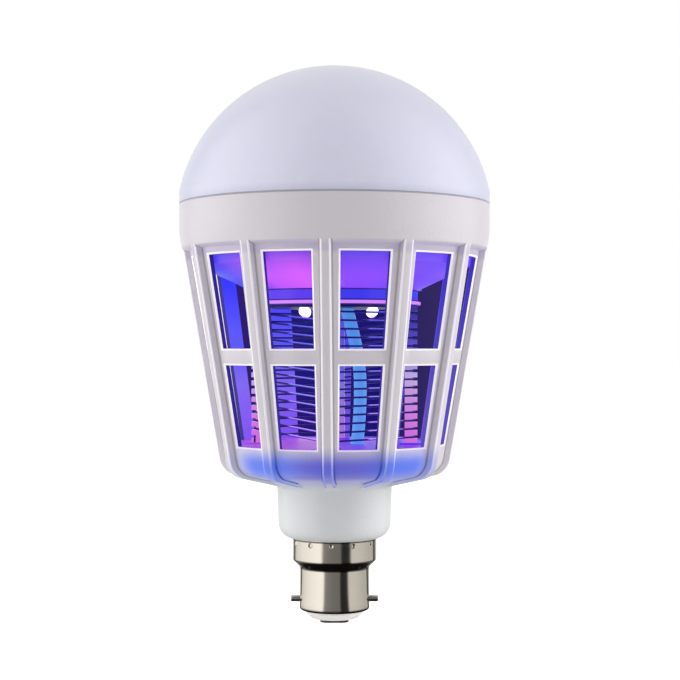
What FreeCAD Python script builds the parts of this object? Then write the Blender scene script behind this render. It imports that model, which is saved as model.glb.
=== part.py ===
import FreeCAD, Part
import math
import os

# Bayonet cap insect killer light bulb, in millimetres.
# +Z runs from the cap to the dome, Z is 0 at the lowest point of the cap's contacts.
# Azimuth 0 faces -Y, the front, and grows towards +X.
# The bayonet pins lie along X.

Vector = FreeCAD.Vector
Z_AXIS = Vector(0, 0, 1)
ORIGIN = Vector(0, 0, 0)

# Bayonet cap
CONTACT_DROP = 0.8            # contacts stand this far below the insulator
CONTACT_LENGTH = 9.0          # oblong contact pads, long way along X
CONTACT_WIDTH = 4.4
CONTACT_SPACING = 7.2         # between the centres of the two pads, along Y
STEM_RADIUS = 1.0
STEM_RISE = 0.5               # the stem stands out of the insulator's top
INSULATOR_NOSE = 2.7          # insulator below the metal shell
INSULATOR_RADIUS = 9.1
INSULATOR_FACE_RADIUS = 7.2
INSULATOR_FLANGE = 1.0
INSULATOR_CORE = 1.6
SHELL_RADIUS = 11.0
SHELL_WALL = 0.5
BARREL_LENGTH = 13.5
SHOULDER_HEIGHT = 2.3
FLANGE_RADIUS = 13.3
FLANGE_HEIGHT = 6.8
PIN_RADIUS = 1.0
PIN_SHANK_RADIUS = 0.8        # the pin's shank through the shell's wall
PIN_REACH = 2.8               # pins stand out of the shell by this much
PIN_RISE = 3.3                # pin centre above the shell's lower edge
PIN_HEAD_RADIUS = 1.5
PIN_HEAD = 0.5
DENT_COUNT = 12
DENT_RADIUS = 1.0
DENT_DEPTH = 0.45
DENT_DROP = 1.3               # dent centre below the shell's upper edge
DENT_AZIMUTH = -4.0

# Guard cage: neck, bowl, window storeys, band
NECK_RADIUS = 18.2
NECK_DRAFT = 0.6              # the neck is this much slimmer at its foot
NECK_FOOT_ROUND = 4.2
NECK_HEIGHT = 16.5
NECK_WALL = 2.0
BOWL_HEIGHT = 13.4
BOWL_SLOPE = 0.235            # rise of the bowl's underside per millimetre outwards
BOWL_ROUND = 12.0
BOWL_WALL = 2.0
BOWL_RECESS = 1.2
SILL_RADIUS = 37.5            # outside of the ribs at the window sill
BODY_RADIUS = 48.9            # band and dome collar
LOWER_WINDOW = 24.8
CROSSBAR = 5.0
UPPER_WINDOW = 28.3
LINTEL = 3.2
CONE_RUN_OUT = 4.7            # the cone runs this far up into the band
BAND_HEIGHT = 13.7
BAND_WALL = 2.0
LEDGE = 1.6
PANEL_RECESS = 2.4            # panels lie this far inside the ribs
PANEL_WALL = 1.8
PANEL_STEP = 1.0              # height of the slanted step at the head of a panel
PANEL_FADE = 3.0              # under the bowl the recess fades out over this width
PANEL_FADE_END = 1.5          # and ends this far outside the neck
RIB_COUNT = 12
RIB_WIDTH = 3.2
RIB_AZIMUTH = -3.0
WINDOW_ANGLE = 19.2
WINDOW_BEVEL = 0.4
SEAM_BEVEL = 0.3
SPIGOT_DEPTH = 6.0            # plug of the neck inside the cap's flange
SPIGOT_WALL = 1.7

# Diffuser dome
DOME_COLLAR = 4.0
DOME_RISE = 39.6
DOME_WALL = 1.6
SKIRT_WALL = 1.5
BEAD_HEIGHT = 1.6
BEAD_STAND = 0.4
BEAD_DROP = 2.6               # bead centre below the seam

# Light tray, the partition between lamp and trap
TRAY_WALL = 1.6
TRAY_FLANGE = 1.4
HUB_RADIUS = 26.3
HUB_HEIGHT = 3.5
HUB_LIP = 0.9                 # the hub's foot stands out by this much
HUB_LIP_HEIGHT = 1.2
HUB_DROP = 18.0               # hub foot below the guard's window head band
TRAY_SLOPE = 0.466            # rise of the tray's underside per millimetre outwards

# White lamp board
BOARD_THICKNESS = 1.6
BOARD_DROP = 2.2              # board's underside below the tray's seat
LED_LENGTH = 3.5
LED_WIDTH = 2.8
LED_HEIGHT = 0.8
LED_RING_COUNTS = (6, 12, 18)
LED_RING_SHARES = (0.2875, 0.575, 0.8145)     # of the board's radius
SCREW_COUNT = 3
SCREW_CIRCLE = 29.0
SCREW_RADIUS = 1.3
SCREW_LENGTH = 6.0
SCREW_HEAD_RADIUS = 2.6
SCREW_HEAD = 1.6
BOSS_RADIUS = 3.2

# Ultraviolet board
UV_BOARD_GAP = 0.6            # between the board's edge and the posts
UV_BOARD_THICKNESS = 0.8
UV_LED_GAP = 1.8              # between the lamps and the grid's wires
UV_LED_COUNT = 4
UV_LED_HEIGHT = 1.4
UV_SCREW_CIRCLE = 8.5
UV_SCREW_LENGTH = 2.4

# High voltage grid
POST_COUNT = 4
POST_WIDTH = 4.0
POST_DEPTH = 4.0
POST_TIP_RADIUS = 26.2
POST_FOOT = 1.0               # the posts stand this deep in the base
GRID_PITCH = 2.6
NOTCH_DEPTH = 1.45
NOTCH_PLAY = 0.5              # a notch is higher than its wire is thick by this
WIRE_RADIUS = 0.3
GRID_HEAD_ROOM = 1.3
TAIL_DROP = 1.0               # a wire's tail turns in this far below the base

# Grid base
BASE_THICKNESS = 2.0
BASE_SEAT = 1.7               # width of the seat under the base's edge
BASE_DROP = 0.3               # base's top below the window sill
SOCKET_WALL = 1.5
SOCKET_RISE = 0.5
BASE_SCREW_CIRCLE = 27.6
BASE_SCREW_LENGTH = 5.5
BASE_BOSS_RADIUS = 3.0
BASE_SCREW_AZIMUTHS = (42.0, 222.0)

# Lead sleeve between the grid base and the tray, its route is (x, z)
SLEEVE_RADIUS = 2.0
SLEEVE_END = 2.5              # the sleeve ends this far above the hub's wall
SLEEVE_BOW = ((6.6, 50.4), (7.6, 59.0), (8.2, 69.0), (8.1, 78.0), (6.8, 87.0), (4.9, 95.0), (2.6, 104.0))

# Driver
DRIVER_THICKNESS = 1.2
DRIVER_TAIL_WIDTH = 18.6
DRIVER_FOOT_GAP = 8.6         # board's foot above the insulator
DRIVER_HEAD_GAP = 2.4         # board's head below the grid base
RAIL_WIDTH = 1.0
RAIL_DEPTH = 1.8
RAIL_LENGTH = 11.0
LEAD_RADIUS = 0.5
LEAD_OVERLAP = 4.2            # a contact lead lies this far along the board's foot

# Driver components: places across the board are shares of its half width
CAN_RADIUS = 4.0
CAN_HEIGHT = 12.0
CAN_GROOVE = 0.4
CAN_DROP = 15.0               # can's foot below the board's head
CAN_PLACE = -0.4575
FILM_HEIGHT = 9.0
FILM_DEPTH = 5.0
FILM_DROP = 14.0
FILM_PLACES = (0.131, 0.784)  # the two ends of the film capacitor
DISC_RADIUS = 3.4
DISC_THICKNESS = 2.4
DISC_DROP = 7.0               # disc's centre below the board's head
DISC_PLACES = (-0.588, 0.0, 0.588)
DIODE_RADIUS = 0.9
DIODE_LENGTH = 4.0
DIODE_DROP = 16.5             # diode's foot below the board's head
DIODE_PLACES = (-0.49, -0.163, 0.163, 0.49)
BRIDGE_WIDTH = 4.8
BRIDGE_DEPTH = 2.5
BRIDGE_HEIGHT = 4.0
RESISTOR_RADIUS = 1.5
RESISTOR_WAIST = 1.2
RESISTOR_LENGTH = 7.0
RESISTOR_CAP = 1.5            # length of the thicker ends
RESISTOR_DROP = 6.0           # resistor's foot below the cap's top

# Clearances
FIT = 0.1
SEAT = 0.3


# Levels, from the contacts up
Z_FACE = CONTACT_DROP
Z_SHELL = Z_FACE + INSULATOR_NOSE
Z_BARREL_TOP = Z_SHELL + BARREL_LENGTH
Z_FLANGE = Z_BARREL_TOP + SHOULDER_HEIGHT
Z_NECK = Z_FLANGE + FLANGE_HEIGHT
Z_BOWL = Z_NECK + NECK_HEIGHT
Z_SILL = Z_BOWL + BOWL_HEIGHT
Z_BAR = Z_SILL + LOWER_WINDOW
Z_UPPER = Z_BAR + CROSSBAR
Z_HEAD = Z_UPPER + UPPER_WINDOW
Z_BAND = Z_HEAD + LINTEL
Z_CONE = Z_BAND + CONE_RUN_OUT
Z_LEDGE = Z_BAND + LEDGE
Z_SEAM = Z_BAND + BAND_HEIGHT
Z_COLLAR = Z_SEAM + DOME_COLLAR
Z_BASE = Z_SILL - BASE_DROP
Z_BASE_SEAT = Z_BASE - BASE_THICKNESS
Z_HUB = Z_BAND - HUB_DROP
Z_BOARD = Z_LEDGE - BOARD_DROP

# Radii that several pieces share
TAPER = (BODY_RADIUS - SILL_RADIUS) / (Z_CONE - Z_SILL)
BAND_BORE = BODY_RADIUS - BAND_WALL
INNER_INSET = PANEL_RECESS + PANEL_WALL
NECK_BORE = NECK_RADIUS - NECK_DRAFT - NECK_WALL
SPIGOT_RADIUS = FLANGE_RADIUS - SHELL_WALL - FIT
SPIGOT_BORE = SPIGOT_RADIUS - SPIGOT_WALL
NOTCH_RADIUS = POST_TIP_RADIUS - NOTCH_DEPTH
WIRE_CIRCLE = NOTCH_RADIUS + WIRE_RADIUS + FIT / 2
PANEL_SPACING = 360.0 / RIB_COUNT
DRIVER_HALF_WIDTH = NECK_BORE - SEAT
TRAY_INSET = INNER_INSET + SEAT
WIRE_BEND = POST_WIDTH / 2 + (WIRE_RADIUS + FIT / 2) * math.tan(math.pi / 2 / POST_COUNT)
WIRE_SIDE = (WIRE_CIRCLE + WIRE_BEND) * math.cos(math.pi / POST_COUNT)
UV_BOARD_RADIUS = POST_TIP_RADIUS - POST_DEPTH - UV_BOARD_GAP
UV_LED_CIRCLE = WIRE_SIDE - WIRE_RADIUS - LED_LENGTH / 2 - UV_LED_GAP

# Levels that several pieces share
INSULATOR_TOP = Z_SHELL + SHELL_WALL + INSULATOR_FLANGE + INSULATOR_CORE
STEM_TOP = INSULATOR_TOP + STEM_RISE
PIN_LEVEL = Z_SHELL + PIN_RISE
DENT_LEVEL = Z_NECK - DENT_DROP
BEAD_LEVEL = Z_SEAM - BEAD_DROP
Z_DRIVER_FOOT = INSULATOR_TOP + DRIVER_FOOT_GAP
Z_DRIVER_TOP = Z_BASE_SEAT - DRIVER_HEAD_GAP
Z_UV_BOARD = Z_HUB - UV_BOARD_THICKNESS
Z_HUB_TOP = Z_HUB + HUB_LIP_HEIGHT + HUB_HEIGHT


def cone_radius(z, inset=0.0):
    """Radius of the cage's tapering outside at a level, less an inset."""
    return SILL_RADIUS + (z - Z_SILL) * TAPER - inset


def bowl_level(radius, raised=0.0):
    """Level of the bowl's underside at a radius, raised by an amount."""
    return Z_BOWL + (radius - NECK_RADIUS) * BOWL_SLOPE + raised


def bowl_corner(inset, raised):
    """Point where the inset cone meets the raised underside, before rounding."""
    radius = SILL_RADIUS - inset + (bowl_level(0.0, raised) - Z_SILL) * TAPER
    radius = radius / (1.0 - BOWL_SLOPE * TAPER)
    return radius, bowl_level(radius, raised)


def flat_point(radius, z):
    return Vector(radius, 0, z)


def rounded_corner(before, corner, after, radius):
    """Tangent points and middle of an arc that rounds a corner."""
    to_before = before - corner
    to_after = after - corner
    half = to_before.getAngle(to_after) / 2
    reach = min(radius / math.tan(half), to_before.Length * 0.49, to_after.Length * 0.49)
    radius = reach * math.tan(half)
    to_before.normalize()
    to_after.normalize()
    middle_way = to_before + to_after
    middle_way.normalize()
    middle = corner + middle_way * (radius / math.sin(half) - radius)
    return corner + to_before * reach, middle, corner + to_after * reach


def outline_wire(points, closed=True):
    """Wire through points (Vector, rounding), with an arc at each rounded one."""
    edges = []
    start = None
    count = len(points)
    stops = []
    for index, (corner, radius) in enumerate(points):
        inner = closed or 0 < index < count - 1
        if radius and inner:
            before = points[index - 1][0]
            after = points[(index + 1) % count][0]
            stops.append(rounded_corner(before, corner, after, radius))
        else:
            stops.append((corner, None, corner))
    for enter, middle, leave in stops:
        if start is not None:
            edges.append(Part.LineSegment(start, enter).toShape())
        if middle is not None:
            edges.append(Part.Arc(enter, middle, leave).toShape())
        start = leave
    if closed:
        edges.append(Part.LineSegment(start, stops[0][0]).toShape())
    return Part.Wire(edges)


def turned(*profile):
    """Solid turned about Z from (radius, z) or (radius, z, rounding) points."""
    points = [(flat_point(p[0], p[1]), p[2] if len(p) > 2 else 0) for p in profile]
    return Part.Face(outline_wire(points)).revolve(ORIGIN, Z_AXIS, 360)


def cylinder(radius, z_low, z_high, x=0.0, y=0.0):
    return Part.makeCylinder(radius, z_high - z_low, Vector(x, y, z_low))


def block(x_low, x_high, y_low, y_high, z_low, z_high):
    size = (x_high - x_low, y_high - y_low, z_high - z_low)
    return Part.makeBox(*size, Vector(x_low, y_low, z_low))


def at_azimuth(shape, azimuth):
    """Copy of a shape made at the front, turned to an azimuth."""
    copy = shape.copy()
    copy.rotate(ORIGIN, Z_AXIS, azimuth)
    return copy


def ring_of(shape, count, first=0.0):
    return [at_azimuth(shape, first + index * 360.0 / count) for index in range(count)]


def around(radius, azimuth):
    """The x and y of a point on a circle."""
    turn = math.radians(azimuth)
    return radius * math.sin(turn), -radius * math.cos(turn)


def tube(points, radius, mitred=False):
    """Round bar along a route of straight runs, joined by mitres or by tangent arcs."""
    bends = [0] * len(points)
    if not mitred:
        bends[1:-1] = [widest_bend(*points[index - 1:index + 2]) for index in range(1, len(points) - 1)]
        print("least bend radius", round(min(bends[1:-1]), 1))
    path = outline_wire(list(zip(points, bends)), closed=False)
    heading = points[1] - points[0]
    section = Part.Wire(Part.makeCircle(radius, points[0], heading))
    solid = path.makePipeShell([section], True, False, 1)
    print("tube volume over section times length", round(solid.Volume / (math.pi * radius ** 2 * path.Length), 4))
    return solid


def widest_bend(before, corner, after):
    """Radius of the arc that takes up nearly half of the shorter run at a corner."""
    to_before = before - corner
    to_after = after - corner
    reach = 0.45 * min(to_before.Length, to_after.Length)
    return reach * math.tan(to_before.getAngle(to_after) / 2)


def contact(side):
    """Oblong contact pad with its stem through the insulator."""
    y = side * CONTACT_SPACING / 2
    reach = (CONTACT_LENGTH - CONTACT_WIDTH) / 2
    pad = block(-reach, reach, y - CONTACT_WIDTH / 2, y + CONTACT_WIDTH / 2, 0, Z_FACE)
    for x in (-reach, reach):
        pad = pad.fuse(cylinder(CONTACT_WIDTH / 2, 0, Z_FACE, x, y))
    pad = pad.removeSplitter()
    rim = [edge for edge in pad.Edges if edge.BoundBox.ZMax < Z_FACE / 2]
    pad = pad.makeFillet(CONTACT_DROP / 2, rim)
    return pad.fuse(cylinder(STEM_RADIUS, Z_FACE, STEM_TOP, 0, y))


def cap_insulator():
    lip_top = Z_SHELL + SHELL_WALL
    flange_top = lip_top + INSULATOR_FLANGE
    flange_radius = SHELL_RADIUS - SHELL_WALL - FIT
    solid = turned(
        (0, Z_FACE),
        (INSULATOR_FACE_RADIUS, Z_FACE, 1.2),
        (INSULATOR_RADIUS, Z_SHELL - INSULATOR_NOSE / 3, 1.0),
        (INSULATOR_RADIUS, lip_top),
        (flange_radius, lip_top),
        (flange_radius, flange_top),
        (INSULATOR_RADIUS - SHELL_WALL, flange_top),
        (INSULATOR_RADIUS - SHELL_WALL, INSULATOR_TOP),
        (0, INSULATOR_TOP),
    )
    for y in (-CONTACT_SPACING / 2, CONTACT_SPACING / 2):
        solid = solid.cut(cylinder(STEM_RADIUS + FIT / 2, Z_FACE - 1, INSULATOR_TOP + 1, 0, y))
    return solid


def cap_shell():
    bore = SHELL_RADIUS - SHELL_WALL
    flange_bore = FLANGE_RADIUS - SHELL_WALL
    solid = turned(
        (INSULATOR_RADIUS + FIT, Z_SHELL),
        (SHELL_RADIUS, Z_SHELL, 0.7),
        (SHELL_RADIUS, Z_BARREL_TOP, 1.5),
        (FLANGE_RADIUS, Z_FLANGE, 1.5),
        (FLANGE_RADIUS, Z_NECK),
        (flange_bore, Z_NECK),
        (flange_bore, Z_FLANGE + SHELL_WALL / 2, 1.2),
        (bore, Z_BARREL_TOP + SHELL_WALL / 2, 1.2),
        (bore, Z_SHELL + SHELL_WALL),
        (INSULATOR_RADIUS + FIT, Z_SHELL + SHELL_WALL),
    )
    bore_across = Part.makeCylinder(
        PIN_SHANK_RADIUS + FIT / 2, 2 * SHELL_RADIUS + 2, Vector(-SHELL_RADIUS - 1, 0, PIN_LEVEL), Vector(1, 0, 0)
    )
    solid = solid.cut(bore_across)
    ball_centre = FLANGE_RADIUS + DENT_RADIUS - DENT_DEPTH
    ball = Part.makeSphere(DENT_RADIUS, Vector(0, -ball_centre, DENT_LEVEL))
    bump = Part.makeSphere(DENT_RADIUS + SHELL_WALL * 0.7, Vector(0, -ball_centre, DENT_LEVEL))
    bump = bump.common(cylinder(flange_bore + SHELL_WALL / 3, Z_FLANGE, Z_NECK))
    for azimuth in [DENT_AZIMUTH + index * 360.0 / DENT_COUNT for index in range(DENT_COUNT)]:
        solid = solid.fuse(at_azimuth(bump, azimuth)).cut(at_azimuth(ball, azimuth))
    return solid


def bayonet_pin(side):
    """Round pin with a rivet head inside the shell, a shoulder outside it and a rounded tip."""
    head_end = math.sqrt((SHELL_RADIUS - SHELL_WALL) ** 2 - PIN_HEAD_RADIUS ** 2) - FIT / 2
    shoulder = SHELL_RADIUS + FIT / 2
    tip = SHELL_RADIUS + PIN_REACH
    pin = turned(
        (0, head_end - PIN_HEAD),
        (PIN_HEAD_RADIUS, head_end - PIN_HEAD),
        (PIN_HEAD_RADIUS, head_end),
        (PIN_SHANK_RADIUS, head_end),
        (PIN_SHANK_RADIUS, shoulder),
        (PIN_RADIUS, shoulder),
        (PIN_RADIUS, tip, 0.3),
        (0, tip),
    )
    pin.rotate(ORIGIN, Vector(0, 1, 0), 90 * side)
    pin.translate(Vector(0, 0, PIN_LEVEL))
    return pin


def guard_wall():
    """Turned wall of the cage: its outside is the outside of the ribs and the band."""
    corner = bowl_corner(0, 0)
    seat_radius = cone_radius(Z_BASE_SEAT, INNER_INSET)
    inner_rise = BOWL_WALL + BOWL_RECESS
    bead = BEAD_HEIGHT / 2 + FIT
    groove = BAND_BORE + BEAD_STAND + FIT
    return turned(
        (SPIGOT_RADIUS, Z_NECK),
        (NECK_RADIUS - NECK_DRAFT, Z_NECK, NECK_FOOT_ROUND),
        (NECK_RADIUS, Z_BOWL, 1.5),
        (corner[0], corner[1], BOWL_ROUND),
        (cone_radius(Z_CONE), Z_CONE, 30.0),
        (BODY_RADIUS, Z_SEAM - SEAM_BEVEL),
        (BODY_RADIUS - SEAM_BEVEL, Z_SEAM),
        (BAND_BORE, Z_SEAM),
        (BAND_BORE, BEAD_LEVEL + bead),
        (groove, BEAD_LEVEL + bead / 3),
        (groove, BEAD_LEVEL - bead / 3),
        (BAND_BORE, BEAD_LEVEL - bead),
        (BAND_BORE, Z_LEDGE),
        (cone_radius(Z_LEDGE, INNER_INSET), Z_LEDGE),
        (seat_radius, Z_BASE_SEAT),
        (seat_radius - BASE_SEAT, Z_BASE_SEAT),
        (seat_radius - BASE_SEAT, bowl_level(seat_radius - BASE_SEAT, inner_rise), BOWL_ROUND / 2),
        (NECK_BORE, bowl_level(NECK_BORE, inner_rise), 1.5),
        (NECK_BORE, Z_NECK + NECK_WALL, 1.0),
        (SPIGOT_BORE, Z_NECK + NECK_WALL, 1.0),
        (SPIGOT_BORE, Z_NECK - SPIGOT_DEPTH),
        (SPIGOT_RADIUS, Z_NECK - SPIGOT_DEPTH),
        (SPIGOT_RADIUS, DENT_LEVEL - DENT_RADIUS),
        (SPIGOT_RADIUS - 2 * DENT_DEPTH, DENT_LEVEL - DENT_RADIUS / 2),
        (SPIGOT_RADIUS - 2 * DENT_DEPTH, DENT_LEVEL + DENT_RADIUS / 2),
        (SPIGOT_RADIUS, DENT_LEVEL + DENT_RADIUS),
    )


def panel_pockets():
    """The twelve spaces between the ribs, outside the panels."""
    panel_corner = bowl_corner(PANEL_RECESS, BOWL_RECESS)
    outside = 1.2 * BODY_RADIUS
    fade_end = NECK_RADIUS + PANEL_FADE_END
    fade_start = fade_end + PANEL_FADE
    ring = turned(
        (outside, Z_BAND),
        (cone_radius(Z_BAND) + 0.01, Z_BAND),
        (cone_radius(Z_BAND - PANEL_STEP, PANEL_RECESS), Z_BAND - PANEL_STEP),
        (panel_corner[0], panel_corner[1], BOWL_ROUND - PANEL_RECESS),
        (fade_start, bowl_level(fade_start, BOWL_RECESS)),
        (fade_end, bowl_level(fade_end)),
        (fade_end, Z_NECK),
        (outside, Z_NECK),
    )
    rib = block(-RIB_WIDTH / 2, RIB_WIDTH / 2, -outside, 0, Z_NECK, Z_SEAM)
    return ring.cut(ring_of(rib, RIB_COUNT, RIB_AZIMUTH))


def window_cutters():
    """Wedges of the two storeys of windows, with a bevel round their outside."""
    cutters = []
    for low, high in ((Z_SILL, Z_BAR), (Z_UPPER, Z_HEAD)):
        cutter = window_wedge(low, high).fuse(window_bevel(low, high))
        cutters += ring_of(cutter, RIB_COUNT, RIB_AZIMUTH + PANEL_SPACING / 2)
    return cutters


def window_wedge(low, high):
    """Wedge at the front between two levels and the window's side planes."""
    near = NECK_RADIUS
    far = 2 * BODY_RADIUS
    corners = [(near, low), (far, low), (far, high), (near, high)]
    side = Part.Face(outline_wire([(flat_point(radius, z), 0) for radius, z in corners]))
    side.rotate(ORIGIN, Z_AXIS, -90 - WINDOW_ANGLE / 2)
    return side.revolve(ORIGIN, Z_AXIS, WINDOW_ANGLE)


def window_bevel(low, high):
    """Frustum whose small end is the window at the bevel's depth inside the panel."""
    turn = math.radians(WINDOW_ANGLE / 2)
    loops = []
    for outwards, grow in ((-WINDOW_BEVEL, 0), (2 * WINDOW_BEVEL, 3 * WINDOW_BEVEL)):
        corners = []
        for side, edge, level in ((-1, low, low - grow), (1, low, low - grow),
                                  (1, high, high + grow), (-1, high, high + grow)):
            radius = cone_radius(edge, PANEL_RECESS)
            across = side * (radius * math.sin(turn) + grow)
            corners.append(Vector(across, -radius * math.cos(turn) - outwards, level))
        loops.append(Part.makePolygon(corners + corners[:1]))
    return Part.makeLoft(loops, True, True)


def guard_cage():
    solid = guard_wall().cut(panel_pockets()).cut(window_cutters())
    for azimuth in BASE_SCREW_AZIMUTHS:
        x, y = around(BASE_SCREW_CIRCLE, azimuth)
        root = bowl_level(BASE_SCREW_CIRCLE, BOWL_RECESS + BOWL_WALL / 2)
        solid = solid.fuse(cylinder(BASE_BOSS_RADIUS, root, Z_BASE_SEAT, x, y))
        hole_foot = Z_BASE - BASE_SCREW_LENGTH - SEAT
        solid = solid.cut(cylinder(SCREW_RADIUS + FIT / 2, hole_foot, Z_BASE, x, y))
    rail_low = Z_NECK + NECK_WALL + 2.0
    slot = DRIVER_THICKNESS / 2 + FIT
    for side in (-1, 1):
        for face in (-1, 1):
            x_low, x_high = sorted((side * (NECK_BORE - RAIL_DEPTH), side * (NECK_BORE + NECK_WALL / 3)))
            y_low, y_high = sorted((face * slot, face * (slot + RAIL_WIDTH)))
            solid = solid.fuse(block(x_low, x_high, y_low, y_high, rail_low, rail_low + RAIL_LENGTH))
    return solid


def diffuser_dome():
    """Opal dome: outside and inside arcs, collar, and the skirt that snaps into the band."""
    crown = Z_COLLAR + DOME_RISE
    skirt = BAND_BORE - FIT
    skirt_bore = skirt - SKIRT_WALL
    foot = Z_LEDGE + TRAY_FLANGE + SEAT
    bead = BEAD_HEIGHT / 2
    inside = BODY_RADIUS - DOME_WALL
    line = [
        (inside, Z_COLLAR), (inside, Z_SEAM + 2 * SKIRT_WALL), (skirt_bore, Z_SEAM + SKIRT_WALL),
        (skirt_bore, foot), (skirt, foot),
        (skirt, BEAD_LEVEL - bead), (skirt + BEAD_STAND, BEAD_LEVEL - bead / 3),
        (skirt + BEAD_STAND, BEAD_LEVEL + bead / 3), (skirt, BEAD_LEVEL + bead),
        (skirt, Z_SEAM), (BODY_RADIUS - SEAM_BEVEL, Z_SEAM), (BODY_RADIUS, Z_SEAM + SEAM_BEVEL),
        (BODY_RADIUS, Z_COLLAR),
    ]
    edges = [
        Part.LineSegment(flat_point(*line[index]), flat_point(*line[index + 1])).toShape()
        for index in range(len(line) - 1)
    ]
    edges.append(dome_arc(BODY_RADIUS, DOME_RISE))
    edges.append(Part.LineSegment(flat_point(0, crown), flat_point(0, crown - DOME_WALL)).toShape())
    edges.append(dome_arc(inside, DOME_RISE - DOME_WALL))
    face = Part.Face(Part.Wire(Part.__sortEdges__(edges)))
    return face.revolve(ORIGIN, Z_AXIS, 360)


def dome_arc(radius, rise):
    """Arc from the collar's top to the crown of a dome of a given radius and rise."""
    ball = (radius ** 2 + rise ** 2) / (2 * rise)
    centre = Z_COLLAR + rise - ball
    start = math.atan2(Z_COLLAR - centre, radius)
    middle = (start + math.pi / 2) / 2
    through = flat_point(ball * math.cos(middle), centre + ball * math.sin(middle))
    return Part.Arc(flat_point(radius, Z_COLLAR), through, flat_point(0, Z_COLLAR + rise)).toShape()


def light_tray():
    """Partition with a flange on the band's ledge, a cone underside and a hub for the traps."""
    wall_radius = cone_radius(Z_LEDGE, TRAY_INSET)
    edge = tray_edge()
    solid = turned(
        (0, Z_HUB),
        (HUB_RADIUS + HUB_LIP, Z_HUB, 0.4),
        (HUB_RADIUS + HUB_LIP, Z_HUB + HUB_LIP_HEIGHT, 0.4),
        (HUB_RADIUS, Z_HUB + HUB_LIP_HEIGHT),
        (HUB_RADIUS, Z_HUB_TOP),
        edge,
        (wall_radius, Z_LEDGE),
        (BAND_BORE - SEAT, Z_LEDGE),
        (BAND_BORE - SEAT, Z_LEDGE + TRAY_FLANGE),
        (wall_radius - TRAY_WALL, Z_LEDGE + TRAY_FLANGE),
        (edge[0] - TRAY_WALL, edge[1] + TRAY_WALL / 2),
        (HUB_RADIUS - TRAY_WALL, Z_HUB_TOP + TRAY_WALL / 2),
        (HUB_RADIUS - TRAY_WALL, Z_HUB + TRAY_WALL),
        (0, Z_HUB + TRAY_WALL),
    )
    for x, y in lamp_screw_places():
        root = Z_HUB_TOP + (SCREW_CIRCLE - BOSS_RADIUS - HUB_RADIUS) * TRAY_SLOPE
        solid = solid.fuse(cylinder(BOSS_RADIUS, root + TRAY_WALL / 2, Z_BOARD, x, y))
    for x, y in lamp_screw_places():
        foot = Z_BOARD + BOARD_THICKNESS - SCREW_LENGTH - SEAT
        solid = solid.cut(cylinder(SCREW_RADIUS + FIT / 2, foot, Z_BOARD + 1, x, y))
    for x, y in trap_screw_places():
        solid = solid.cut(cylinder(SCREW_RADIUS + FIT / 2, Z_HUB - 1, Z_HUB + TRAY_WALL + 1, x, y))
    return solid.cut(sleeve_hole())


def tray_edge():
    """Outer corner of the tray's cone, where it meets the cage's tapering inside."""
    at_ledge = cone_radius(Z_LEDGE, TRAY_INSET)
    slack = at_ledge - HUB_RADIUS + (Z_HUB_TOP - Z_LEDGE) * TAPER
    reach = slack / (1.0 - TRAY_SLOPE * TAPER)
    return HUB_RADIUS + reach, Z_HUB_TOP + reach * TRAY_SLOPE


def lamp_screw_places():
    return [around(SCREW_CIRCLE, index * 360.0 / SCREW_COUNT) for index in range(SCREW_COUNT)]


def trap_screw_places():
    return [around(UV_SCREW_CIRCLE, azimuth) for azimuth in (0, 180)]


def base_screw_places():
    return [around(BASE_SCREW_CIRCLE, azimuth) for azimuth in BASE_SCREW_AZIMUTHS]


def pan_screw(x, y, seat, length, direction):
    """Pan head screw whose head rests on a seat and whose shank runs along +Z or -Z."""
    head = Part.makeCylinder(SCREW_HEAD_RADIUS, SCREW_HEAD, Vector(x, y, seat), Vector(0, 0, -direction))
    crown = [edge for edge in head.Edges if abs(edge.CenterOfMass.z - seat) > SCREW_HEAD / 2]
    head = head.makeFillet(SCREW_HEAD / 2, [edge for edge in crown if edge.Closed])
    shank = Part.makeCylinder(SCREW_RADIUS, length, Vector(x, y, seat), Vector(0, 0, direction))
    return head.fuse(shank)


def countersunk_screw(x, y, top, length):
    drop = SCREW_HEAD_RADIUS - SCREW_RADIUS
    head = Part.makeCone(SCREW_RADIUS, SCREW_HEAD_RADIUS, drop, Vector(x, y, top - drop))
    return head.fuse(cylinder(SCREW_RADIUS, top - length, top - drop, x, y))


def lamp_board_radius():
    return cone_radius(Z_BOARD, TRAY_INSET) - TRAY_WALL - SEAT


def lamp_board():
    """Metal board of the white lamp, resting on the tray's bosses."""
    board = cylinder(lamp_board_radius(), Z_BOARD, Z_BOARD + BOARD_THICKNESS)
    for x, y in lamp_screw_places():
        board = board.cut(cylinder(SCREW_RADIUS + FIT, Z_BOARD - 1, Z_BOARD + BOARD_THICKNESS + 1, x, y))
    return board.cut(cylinder(SLEEVE_RADIUS, Z_BOARD - 1, Z_BOARD + BOARD_THICKNESS + 1))


def white_leds():
    top = Z_BOARD + BOARD_THICKNESS
    chips = []
    for share, count in zip(LED_RING_SHARES, LED_RING_COUNTS):
        radius = share * lamp_board_radius()
        chip = block(-LED_LENGTH / 2, LED_LENGTH / 2, -radius - LED_WIDTH / 2, -radius + LED_WIDTH / 2,
                     top, top + LED_HEIGHT)
        chips += ring_of(chip, count, 180.0 / count)
    return Part.makeCompound(chips)


def lamp_board_screws():
    top = Z_BOARD + BOARD_THICKNESS
    return Part.makeCompound([pan_screw(x, y, top, SCREW_LENGTH, -1) for x, y in lamp_screw_places()])


def uv_board():
    board = cylinder(UV_BOARD_RADIUS, Z_UV_BOARD, Z_HUB)
    for x, y in trap_screw_places():
        board = board.cut(cylinder(SCREW_RADIUS + FIT, Z_UV_BOARD - 1, Z_HUB + 1, x, y))
    return board.cut(sleeve_hole())


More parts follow.
